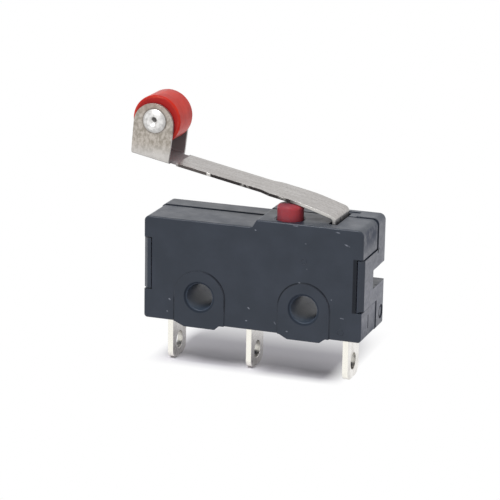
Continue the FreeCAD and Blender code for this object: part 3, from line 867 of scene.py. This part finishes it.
@dataclass(frozen=True)
class PlatedStrip(StreakedSheet):
    """Silver plated brass of the lugs: creamy punched edges that are partly painted highlight, greyer faces
    and painted shade on the hole wall.
    """

    name: str = "plated_strip"
    colour: Triple = (0.84, 0.82, 0.785)
    tarnish: Triple = (0.66, 0.635, 0.60)
    grain: Grain = Grain.ALONG_LUG
    stretch: float = 0.05
    streaks: float = 3600.0
    patches: Pattern = (1300.0, 5.0)
    satin: Ramp = Ramp(0.36, 0.66, 0.20, 0.38)
    edge: float = 0.04 * MM
    dents: Relief = Relief(600.0, 2.0, 0.02 * MM, 0.3)
    # Cut edges: partly the bare cut metal, partly painted highlight.
    cut_edge_and_highlight: Triple = (0.97, 0.945, 0.87)
    # Painted shade on the wall of the lug's hole.
    hole_shade: Triple = (0.055, 0.052, 0.052)
    hole_axis: Triple = (0.0, 0.0, -5.1 * MM)
    hole_wall: Ramp = Ramp(0.735 * MM, 0.757 * MM, 1.0, 0.0)
    hole_shade_patches: Mottle = Mottle(2600.0, 2.0, Ramp(0.50, 0.62, 1.0, 0.35))

    def _over(self, graph: NodeGraph, base: Socket, lines: Socket) -> Socket:
        """Colour of the patches with the punched edges, partly painted highlight, and the painted shade on
        the hole's wall.

        Args:
            graph: the tree of this finish.
            base: colour of the patches.
            lines: noise of the streaks, which these don't follow.

        Returns:
            The colour socket.
        """
        wall = graph.ramp(graph.radius(self.hole_axis, "X"), self.hole_wall)
        # Cut edges, partly painted highlight.
        base = graph.blend(graph.facing("Y"), base, self.cut_edge_and_highlight)
        # Painted shade on the hole wall.
        return graph.blend(graph.product(wall, graph.mottle(self.hole_shade_patches)), base, self.hole_shade)


@dataclass(frozen=True)
class LeverSheet:
    """Nickelled strip: rolled top and mottled ears with painted highlights and shade, painted shade between
    the ears, and sheared edges with a painted dark reflection and bright lands.
    """

    top: Triple = (0.48, 0.46, 0.445)
    top_dull: Triple = (0.37, 0.35, 0.335)
    top_patches: Ramp = Ramp(0.40, 0.62)
    stretch: float = 0.08
    streaks: float = 4200.0
    pepper: Pattern = (5200.0, 4.0)
    streak_share: float = 0.4
    ear: Triple = (0.55, 0.505, 0.455)
    mottle: Triple = (0.355, 0.32, 0.275)
    spots: Pattern = (4300.0, 6.0)
    spot_turn: float = 0.1
    spot_stretch: Triple = (1.0, 1.0, 0.72)
    spot_colour: Ramp = Ramp(0.40, 0.62)
    # Painted highlight on the lower part of the ears.
    ear_low_highlight: Triple = (0.68, 0.665, 0.65)
    ear_high: Triple = (0.38, 0.29, 0.235)
    ear_highlight_z: Ramp = Ramp(11.9 * MM, 12.9 * MM, 0.70, 0.0)
    high_z: Ramp = Ramp(15.2 * MM, 16.6 * MM, 0.0, 0.75)
    # Painted shade round the rivet head on the ear.
    rivet_shade: Triple = (0.10, 0.085, 0.078)
    rivet_shade_ring: Ramp = Ramp(1.03 * MM, 1.22 * MM, 0.7, 0.0)
    ear_end: Ramp = Ramp(-7.55 * MM, -7.35 * MM)
    # Sheared edges: dark as a painted dark reflection; lands partly painted highlight.
    cut_dark_reflection: Triple = (0.042, 0.037, 0.037)
    worn_shear: Triple = (0.13, 0.115, 0.11)
    land_and_highlight: Triple = (0.72, 0.70, 0.67)
    lands: Mottle = Mottle(900.0, 3.0, Ramp(0.58, 0.66, 0.0, 0.35))
    edge_highlight_x: Ramp = Ramp(2.9 * MM, 4.0 * MM, 0.0, 0.8)
    burr_x: Window = Window(-4.82 * MM, -4.74 * MM, -4.46 * MM, -4.38 * MM)
    burr_share: float = 0.8
    worn_share: float = 0.7
    # inner: painted shade on the ears' inner faces and the strip between them.
    inner: Triple = (0.27, 0.24, 0.25)
    inner_shade_share: float = 0.85
    inner_y: Ramp = Ramp(1.80 * MM, 1.836 * MM, 1.0, 0.0)
    inner_x: Ramp = Ramp(-7.55 * MM, -7.45 * MM, 1.0, 0.0)
    inner_roughness: float = 0.80
    satin: Ramp = Ramp(0.36, 0.66, 0.26, 0.46)
    edge: float = 0.05 * MM
    dents: Relief = Relief(700.0, 3.0, 0.02 * MM, 0.35)
    pepper_lift: Lift = (0.006 * MM, 0.45)

    def material(self) -> Material:
        """Build the finish.

        Returns:
            The material.
        """
        graph = NodeGraph("lever_sheet")
        lines = graph.streaks(Grain.ALONG_LEVER, self.stretch, self.streaks)
        pepper = graph.noise(*self.pepper)
        spots = graph.noise(*self.spots, graph.mapped(AXLE, self.spot_turn, self.spot_stretch))
        rolled = graph.blend(graph.ramp(graph.shared(lines, pepper, self.streak_share), self.top_patches),
                             self.top, self.top_dull)
        side = graph.facing("Y")
        sheared = graph.product(side, graph.ramp(graph.axes()["X"], self.ear_end))
        colour = graph.blend(graph.math("SUBTRACT", side, sheared), rolled, self._ears(graph, spots))
        colour = graph.blend(sheared, colour, self._cut(graph))
        # Painted shade on the ears' inner faces and between them.
        shaded_inside = self._shade_between_ears(graph)
        colour = graph.blend(shaded_inside, colour, self.inner)
        satin = graph.ramp(graph.shared(lines, spots, self.streak_share), self.satin)
        satin = graph.between(shaded_inside, satin, self.inner_roughness)
        normal = graph.bump(pepper, self.pepper_lift, graph.relief(graph.rounded(self.edge), self.dents))
        return graph.finish(colour, satin, normal, Metallic=1.0)

    def _ears(self, graph: NodeGraph, spots: Socket) -> Socket:
        """Colour of the ears' flat sides, with a painted highlight below, browner above and painted shade
        round the rivet.

        Args:
            graph: the tree of this finish.
            spots: noise of their mottling.

        Returns:
            The colour socket.
        """
        height = graph.axes()["Z"]
        dull = graph.blend(graph.ramp(spots, self.spot_colour), self.ear, self.mottle)
        # Painted highlight low on the ears.
        dull = graph.blend(graph.ramp(height, self.ear_highlight_z), dull, self.ear_low_highlight)
        dull = graph.blend(graph.ramp(height, self.high_z), dull, self.ear_high)
        # Painted shade round the rivet.
        return graph.blend(graph.ramp(graph.radius(AXLE), self.rivet_shade_ring), dull, self.rivet_shade)

    def _cut(self, graph: NodeGraph) -> Socket:
        """Colour of the sheared edges: a painted dark reflection, with lands that shine, a painted highlight
        from 2.9 mm along X, and a burr at the neck.

        Args:
            graph: the tree of this finish.

        Returns:
            The colour socket.
        """
        place = graph.axes()["X"]
        worn = graph.ramp(place, Ramp(self.burr_x.whole, self.burr_x.fade, self.worn_share, 0.0))
        burr = graph.product(graph.window(place, self.burr_x), self.burr_share)
        # Lands, with a painted highlight along the edge beyond 2.9 mm.
        lands = graph.either(graph.mottle(self.lands), graph.ramp(place, self.edge_highlight_x), burr)
        return graph.blend(lands, graph.blend(worn, self.cut_dark_reflection, self.worn_shear), self.land_and_highlight)

    def _shade_between_ears(self, graph: NodeGraph) -> Socket:
        """Mask of the painted shade on the faces that look at the roller.

        Args:
            graph: the tree of this finish.

        Returns:
            A value socket, highest on the ears' inner faces and on the strip between them.
        """
        axes = graph.axes()
        return graph.product(graph.ramp(graph.math("ABSOLUTE", axes["Y"]), self.inner_y),
                             graph.ramp(axes["X"], self.inner_x), self.inner_shade_share)


@dataclass(frozen=True)
class PunchedEnd:
    """What the punch left on a rivet's front: a dull rim, and painted shade in the pit beside the middle."""

    rim: Ramp = Ramp(0.84 * MM, 0.924 * MM, 0.0, 0.8)
    # Painted shade in the pit, set off the middle so its lower side stays bright.
    pit: Ramp = Ramp(0.2025 * MM, 0.27 * MM, 0.95, 0.0)
    pit_x: float = 0.05 * MM
    pit_z: float = 0.17 * MM
    front_y: Ramp = Ramp(0.0, 0.1 * MM, 1.0, 0.0)
    painted_shade: Triple = (0.10, 0.095, 0.09)

    def over(self, graph: NodeGraph, base: Socket, centre: Triple, dull: Triple) -> Socket:
        """Colour of the head with the dull rim and the painted shade of the pit over it.

        Args:
            graph: the tree of the finish.
            base: colour of the metal.
            centre: a point on the rivet's axis, in metres.
            dull: colour of its dull metal.

        Returns:
            The colour socket.
        """
        base = graph.blend(graph.ramp(graph.radius(centre), self.rim), base, dull)
        # Painted shade in the pit.
        mouth = graph.radius((centre[0] + self.pit_x, centre[1], centre[2] + self.pit_z))
        pit_shade = graph.product(graph.ramp(mouth, self.pit), graph.ramp(graph.axes()["Y"], self.front_y))
        return graph.blend(pit_shade, base, self.painted_shade)


@dataclass(frozen=True)
class FormedHead:
    """Bright metal of a formed rivet or a contact, with fine rings round its axis."""

    name: str
    colour: Triple
    dull: Triple
    centre: Triple
    satin: Ramp
    punch: PunchedEnd | None = None
    rings: Pattern = (9000.0, 2.0)
    patches: Pattern = (2600.0, 4.0)
    patch_colour: Ramp = Ramp(0.40, 0.66)
    edge: float = 0.05 * MM
    patch_lift: Lift = (0.01 * MM, 0.3)
    ring_lift: Lift = (0.002 * MM, 0.4)

    def material(self) -> Material:
        """Build the finish.

        Returns:
            The material.
        """
        graph = NodeGraph(self.name)
        rings = graph.noise(*self.rings, graph.lathe(self.centre))
        patch = graph.noise(*self.patches)
        base = graph.blend(graph.ramp(patch, self.patch_colour), self.colour, self.dull)
        if self.punch is not None:
            base = self.punch.over(graph, base, self.centre, self.dull)
        normal = graph.bump(patch, self.patch_lift, graph.rounded(self.edge))
        return graph.finish(base, graph.ramp(patch, self.satin), graph.bump(rings, self.ring_lift, normal),
                            Metallic=1.0)


@dataclass(frozen=True)
class RingRow:
    """Raised rings of one size on one face of the case."""

    name: str
    places: tuple[Triple, ...]
    facing: Triple
    radius: float


class RingTree:
    """Geometry Nodes tree that sets one thin ring on every point of a mesh, all facing one way."""

    ring_steps: int = 48
    wire_steps: int = 8

    def __init__(self, name: str) -> None:
        """Build the tree.

        Args:
            name: name of the node group.
        """
        self.tree = bpy.data.node_groups.new(name, "GeometryNodeTree")
        side = self.tree.interface
        side.new_socket("Geometry", in_out="INPUT", socket_type="NodeSocketGeometry")
        self.sockets = {
            label: side.new_socket(label, in_out="INPUT", socket_type=kind).identifier
            for label, kind in (("Ring Radius", "NodeSocketFloat"), ("Wire Radius", "NodeSocketFloat"),
                                ("Facing", "NodeSocketVector"), ("Material", "NodeSocketMaterial"))
        }
        side.new_socket("Geometry", in_out="OUTPUT", socket_type="NodeSocketGeometry")
        self._wire()

    def _node(self, kind: str) -> bpy.types.Node:
        """Add a node of the named type to the tree."""
        return self.tree.nodes.new(kind)

    def _circle(self, steps: int, radius: Socket) -> Socket:
        """Add a circle.

        Args:
            steps: how many points it has.
            radius: socket of its radius.

        Returns:
            Its curve socket.
        """
        circle = self._node("GeometryNodeCurvePrimitiveCircle")
        circle.inputs["Resolution"].default_value = steps
        self.tree.links.new(radius, circle.inputs["Radius"])
        return circle.outputs["Curve"]

    def _wire(self) -> None:
        """Join the nodes from the points to the finished rings."""
        link = self.tree.links.new
        start, end = self._node("NodeGroupInput"), self._node("NodeGroupOutput")
        swept = self._node("GeometryNodeCurveToMesh")
        link(self._circle(self.ring_steps, start.outputs["Ring Radius"]), swept.inputs["Curve"])
        link(self._circle(self.wire_steps, start.outputs["Wire Radius"]), swept.inputs["Profile Curve"])
        facing = self._node("FunctionNodeAlignRotationToVector")
        facing.axis = "Z"
        link(start.outputs["Facing"], facing.inputs["Vector"])
        placed = self._node("GeometryNodeInstanceOnPoints")
        link(start.outputs["Geometry"], placed.inputs["Points"])
        link(swept.outputs["Mesh"], placed.inputs["Instance"])
        link(facing.outputs["Rotation"], placed.inputs["Rotation"])
        real = self._node("GeometryNodeRealizeInstances")
        link(placed.outputs["Instances"], real.inputs["Geometry"])
        smooth = self._node("GeometryNodeSetShadeSmooth")
        link(real.outputs["Geometry"], smooth.inputs["Geometry"])
        dressed = self._node("GeometryNodeSetMaterial")
        link(smooth.outputs["Geometry"], dressed.inputs["Geometry"])
        link(start.outputs["Material"], dressed.inputs["Material"])
        link(dressed.outputs["Geometry"], end.inputs["Geometry"])

    def make(self, row: RingRow, wire: float, material: Material) -> bpy.types.Object:
        """Rings of one row as one plain mesh object at the origin.

        Args:
            row: name, places, direction and radius of the rings.
            wire: radius of their wire in metres.
            material: finish of the rings.

        Returns:
            The finished object.
        """
        seeds = bpy.data.meshes.new(row.name + "_places")
        seeds.from_pydata(row.places, [], [])
        carrier = bpy.data.objects.new(row.name + "_seed", seeds)
        bpy.context.scene.collection.objects.link(carrier)
        modifier = carrier.modifiers.new("rings", "NODES")
        modifier.node_group = self.tree
        for label, value in (("Ring Radius", row.radius), ("Wire Radius", wire), ("Facing", row.facing),
                             ("Material", material)):
            modifier[self.sockets[label]] = value
        bpy.context.view_layer.update()
        graph = bpy.context.evaluated_depsgraph_get()
        mesh = bpy.data.meshes.new_from_object(carrier.evaluated_get(graph))
        mesh.name = row.name
        bpy.data.objects.remove(carrier)
        made = bpy.data.objects.new(row.name, mesh)
        bpy.context.scene.collection.objects.link(made)
        return made


class Recast:
    """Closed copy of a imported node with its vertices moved, which stands for the node."""

    weld: float = 0.0001 * MM
    flat_angle: float = math.radians(0.5)
    smooth_angle: float = math.radians(30.0)

    def make(self, node: bpy.types.Object, name: str, body: str,
             move: Callable[[Vector], Vector]) -> bpy.types.Object:
        """Make the copy.

        Args:
            node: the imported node.
            name: name of the new piece.
            body: body that it rides on.
            move: gives the new place of a vertex.

        Returns:
            The new piece.
        """
        shape = bmesh.new()
        shape.from_mesh(node.data)
        bmesh.ops.remove_doubles(shape, verts=shape.verts, dist=self.weld)
        bmesh.ops.dissolve_limit(shape, angle_limit=self.flat_angle, verts=shape.verts, edges=shape.edges)
        for corner in shape.verts:
            corner.co = move(corner.co)
        mesh = bpy.data.meshes.new(name)
        shape.to_mesh(mesh)
        shape.free()
        mesh.shade_smooth()
        mesh.set_sharp_from_angle(angle=self.smooth_angle)
        mesh.materials.append(None)
        piece = bpy.data.objects.new(name, mesh)
        bpy.context.scene.collection.objects.link(piece)
        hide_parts(node.name)
        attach(piece, body)
        return piece


def dress(node: bpy.types.Object, material: Material) -> None:
    """Give every material slot of a piece the finish, and report it.

    Args:
        node: the piece.
        material: its finish.
    """
    for slot in node.material_slots:
        slot.material = material
    LOG.info("%s: %s", node.name, material.name)


@dataclass
class Case:
    """Base and cover with the small raised rings that the mould's pins left."""

    halves: tuple[str, ...] = ("base_housing", "cover")
    ring_rows: tuple[RingRow, ...] = (
        RingRow("front_mould_rings", ((4.66 * MM, FRONT_Y, 4.25 * MM), (8.06 * MM, FRONT_Y, -1.64 * MM)),
                facing=(0.0, -1.0, 0.0), radius=0.25 * MM),
        RingRow("end_mould_rings", (END_MARK,), facing=(1.0, 0.0, 0.0), radius=0.43 * MM))
    ring_wire: float = 0.035 * MM

    def build(self, nodes: Nodes) -> None:
        """Dress both halves and add the rings.

        Args:
            nodes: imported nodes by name.
        """
        plastic = MouldedCase().material()
        for name in self.halves:
            dress(nodes[name], plastic)
        tree = RingTree("mould_rings")
        for row in self.ring_rows:
            rings = tree.make(row, self.ring_wire, plastic)
            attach(rings, "case")
            dress(rings, plastic)


@dataclass
class Terminals:
    """The three solder lugs with their stems and shelves, their tips and edges rounded as punched."""

    names: tuple[str, ...] = ("common_terminal", "no_terminal", "nc_terminal")
    half_width: float = 1.6 * MM
    tip: float = FLOOR_Z
    solid_corner: float = 0.45 * MM
    corner: float = 0.85 * MM
    slack: float = 0.001 * MM
    edge: float = 0.035 * MM
    edge_segments: int = 2
    edge_angle: float = math.radians(40.0)

    def build(self, nodes: Nodes) -> None:
        """Make each terminal from its solid and dress it.

        Args:
            nodes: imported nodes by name.
        """
        plate = PlatedStrip().material()
        for name in self.names:
            piece = Recast().make(nodes[name], name + "_strip", "case", self._rounded_tip)
            bevel = piece.modifiers.new("punched_edge", "BEVEL")
            bevel.width = self.edge
            bevel.segments = self.edge_segments
            bevel.limit_method = "ANGLE"
            bevel.angle_limit = self.edge_angle
            dress(piece, plate)

    def _rounded_tip(self, point: Vector) -> Vector:
        """Point of the lug's outline moved from the solid's corner to the wider one.

        Args:
            point: a vertex of the solid.

        Returns:
            Its place on the finished lug.
        """
        inner = self.half_width - self.solid_corner
        if abs(point.y) < inner - self.slack or point.z > self.tip + self.solid_corner + self.slack:
            return point
        side = math.copysign(1.0, point.y)
        angle = math.atan2(point.z - self.tip - self.solid_corner, side * point.y - inner)
        across = self.half_width - self.corner + self.corner * math.cos(angle)
        return Vector((point.x, side * across, self.tip + self.corner * (1.0 + math.sin(angle))))


@dataclass
class SnapWorks:
    """Blade and contacts inside the case."""

    contacts: tuple[str, ...] = ("no_contact", "nc_contact", "moving_contact")
    bronze: SpringBronze = SpringBronze()
    silver: FormedHead = FormedHead(
        "contact_silver", colour=(0.86, 0.85, 0.82), dull=(0.60, 0.58, 0.54),
        centre=(-6.5 * MM, 0.0, 4.3 * MM), satin=Ramp(0.35, 0.7, 0.22, 0.40))

    def build(self, nodes: Nodes) -> None:
        """Dress the blade and the contacts.

        Args:
            nodes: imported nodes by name.
        """
        dress(nodes["snap_blade"], self.bronze.material())
        silver = self.silver.material()
        for name in self.contacts:
            dress(nodes[name], silver)


@dataclass
class PushPin:
    """Red pin that the lever presses."""

    red: RedPlastic = RedPlastic(
        "pin_plastic", colour=(0.37, 0.046, 0.056), deep=(0.25, 0.058, 0.076),
        centre=(2.86 * MM, -1.55 * MM, 8.0 * MM))

    def build(self, nodes: Nodes) -> None:
        """Dress the pin."""
        dress(nodes["plunger"], self.red.material())


@dataclass
class RollerLever:
    """Lever strip with its bracket, the roller and the rivet."""

    sheet: LeverSheet = LeverSheet()
    red: RedPlastic = RedPlastic(
        "roller_red", colour=(0.60, 0.028, 0.011), deep=(0.46, 0.014, 0.009), centre=AXLE, roller_tones=RollerTones())
    metal: FormedHead = FormedHead(
        "formed_rivet", colour=(0.88, 0.87, 0.855), dull=(0.54, 0.53, 0.52), centre=AXLE,
        satin=Ramp(0.35, 0.7, 0.32, 0.50), punch=PunchedEnd())

    def build(self, nodes: Nodes) -> None:
        """Dress the lever, the roller and the rivet.

        Args:
            nodes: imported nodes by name.
        """
        dress(nodes["lever"], self.sheet.material())
        dress(nodes["roller"], self.red.material())
        dress(nodes["roller_rivet"], self.metal.material())


def seen_plainly(tree: bpy.types.NodeTree) -> Socket:
    """Mask of camera, mirror and see-through rays, for which the surround is plain white.

    Args:
        tree: node tree of the floor's material or of the world.

    Returns:
        A value socket, 1 for those rays.
    """
    rays = tree.nodes.new("ShaderNodeLightPath")
    seen = rays.outputs["Is Camera Ray"]
    for kind in ("Is Glossy Ray", "Is Transmission Ray"):
        larger = tree.nodes.new("ShaderNodeMath")
        larger.operation = "MAXIMUM"
        tree.links.new(seen, larger.inputs[0])
        tree.links.new(rays.outputs[kind], larger.inputs[1])
        seen = larger.outputs["Value"]
    return seen


@dataclass
class PaperFloor:
    """Pale floor that keeps the object's soft shadow, with a painted shadow strip under the case, and is
    plain white away from it.
    """

    half: float = 1.6
    tones: tuple[Triple, Triple] = ((0.915, 0.895, 0.95), (0.93, 0.915, 0.96))
    clouds: Pattern = (3.0, 2.0)
    roughness: float = 0.9
    shadow_x: Window = Window(-10.2 * MM, -8.2 * MM, 6.0 * MM, 8.1 * MM)
    shadow_y: Window = Window(-3.0 * MM, -1.4 * MM, 5.0 * MM, 14.0 * MM)
    # deep: colour of the painted shadow strip under the case.
    deep: Triple = (0.36, 0.35, 0.375)
    shadow_strip_share: float = 0.5
    shadow_strip_x: Window = Window(-0.4 * MM, 1.2 * MM, 9.0 * MM, 10.6 * MM)
    shadow_strip_y: Window = Window(-4.5 * MM, -3.2 * MM, -0.5 * MM, 0.8 * MM)

    def build(self) -> None:
        """Lay the floor."""
        mesh = bpy.data.meshes.new("floor")
        around = ((-1, -1), (1, -1), (1, 1), (-1, 1))
        mesh.from_pydata([(x * self.half, y * self.half, FLOOR_Z) for x, y in around], [], [(0, 1, 2, 3)])
        floor = bpy.data.objects.new("floor", mesh)
        bpy.context.scene.collection.objects.link(floor)
        mesh.materials.append(self._paper())

    def _paper(self) -> Material:
        """Paper with a painted shadow strip under the case, lit near the object only.

        Returns:
            The material.
        """
        graph = NodeGraph("floor_paper")
        axes = graph.axes()
        # Painted shadow strip under the case.
        deep = graph.product(graph.window(axes["X"], self.shadow_strip_x), graph.window(axes["Y"], self.shadow_strip_y),
                             self.shadow_strip_share)
        paper = graph.blend(deep, graph.blend(graph.noise(*self.clouds), *self.tones), self.deep)
        graph.link(paper, graph.surface.inputs["Base Color"])
        graph.set(Roughness=self.roughness, Specular_IOR_Level=0.0)
        near = graph.product(graph.window(axes["X"], self.shadow_x), graph.window(axes["Y"], self.shadow_y))
        white = graph.add("ShaderNodeEmission")
        mix = graph.add("ShaderNodeMixShader")
        graph.link(graph.product(seen_plainly(graph.tree), graph.inverse(near)), mix.inputs["Fac"])
        graph.link(graph.surface.outputs["BSDF"], mix.inputs[1])
        graph.link(white.outputs["Emission"], mix.inputs[2])
        graph.link(mix.outputs["Shader"], graph.output.inputs["Surface"])
        return graph.material


@dataclass
class Surround:
    """Even light from all round, and plain white for the camera and reflections."""

    light: float = 0.46
    white: float = 1.0

    def build(self) -> None:
        """Set the world."""
        world = bpy.data.worlds.new("studio")
        bpy.context.scene.world = world
        world.use_nodes = True
        tree = world.node_tree
        tree.nodes.clear()
        mix = tree.nodes.new("ShaderNodeMixShader")
        tree.links.new(seen_plainly(tree), mix.inputs["Fac"])
        for socket, strength in ((mix.inputs[1], self.light), (mix.inputs[2], self.white)):
            shade = tree.nodes.new("ShaderNodeBackground")
            shade.inputs["Color"].default_value = WHITE
            shade.inputs["Strength"].default_value = strength
            tree.links.new(shade.outputs["Background"], socket)
        out = tree.nodes.new("ShaderNodeOutputWorld")
        tree.links.new(mix.outputs["Shader"], out.inputs["Surface"])


@dataclass
class Softbox:
    """Square area lamp that faces the object, with its sides in metres and its power in watts."""

    name: str
    place: Triple
    size: float
    power: float

    def build(self) -> None:
        """Hang the lamp."""
        lamp = bpy.data.lights.new(self.name, "AREA")
        lamp.size = self.size
        lamp.energy = self.power
        box = bpy.data.objects.new(self.name, lamp)
        box.location = self.place
        box.rotation_euler = (-Vector(self.place)).to_track_quat("-Z", "Y").to_euler()
        bpy.context.scene.collection.objects.link(box)


@dataclass
class PhotoCamera:
    """Camera solved from the photograph."""

    azimuth: float = math.radians(19.34)
    elevation: float = math.radians(15.68)
    roll: float = math.radians(1.03)
    distance: float = 197.2 * MM
    target: Triple = (-1.29 * MM, 0.0, 3.79 * MM)
    focal_pixels: float = 2271.9
    frame_pixels: float = 500.0
    sensor: float = 36.0
    clip: tuple[float, float] = (0.01, 10.0)

    def build(self) -> None:
        """Set up the camera."""
        back = Vector((math.sin(self.azimuth) * math.cos(self.elevation),
                       -math.cos(self.azimuth) * math.cos(self.elevation), math.sin(self.elevation)))
        level = (-back).cross(Vector((0.0, 0.0, 1.0))).normalized()
        upright = level.cross(-back)
        right = math.cos(self.roll) * level + math.sin(self.roll) * upright
        up = -math.sin(self.roll) * level + math.cos(self.roll) * upright
        data = bpy.data.cameras.new("photo_camera")
        data.sensor_width = self.sensor
        data.lens = self.focal_pixels / self.frame_pixels * self.sensor
        data.clip_start, data.clip_end = self.clip
        camera = bpy.data.objects.new("photo_camera", data)
        turn = Matrix((right, up, back)).transposed().to_4x4()
        camera.matrix_world = Matrix.Translation(Vector(self.target) + back * self.distance) @ turn
        bpy.context.scene.collection.objects.link(camera)
        bpy.context.scene.camera = camera


@dataclass
class Studio:
    """Pale floor, soft light and the camera."""

    floor: PaperFloor
    surround: Surround
    key: Softbox
    fill: Softbox
    camera: PhotoCamera

    def build(self) -> None:
        """Set up every part of the studio."""
        for fitting in (self.floor, self.surround, self.key, self.fill, self.camera):
            fitting.build()


def main() -> None:
    """Load the frame, dress it and set the studio."""
    logging.basicConfig(level=logging.INFO, format="%(name)s: %(message)s")
    for stray in list(bpy.data.objects):
        bpy.data.objects.remove(stray)
    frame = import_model()
    for part in (Case(), Terminals(), SnapWorks(), PushPin(), RollerLever()):
        part.build(frame["nodes"])
    Studio(PaperFloor(), Surround(), Softbox("key", place=(-0.07, -0.26, 0.42), size=0.18, power=1.50),
           Softbox("right_fill", place=(0.36, 0.10, 0.16), size=0.20, power=0.20), PhotoCamera()).build()
    bpy.context.scene.view_settings.view_transform = "Standard"


if __name__ == "__main__":
    main()
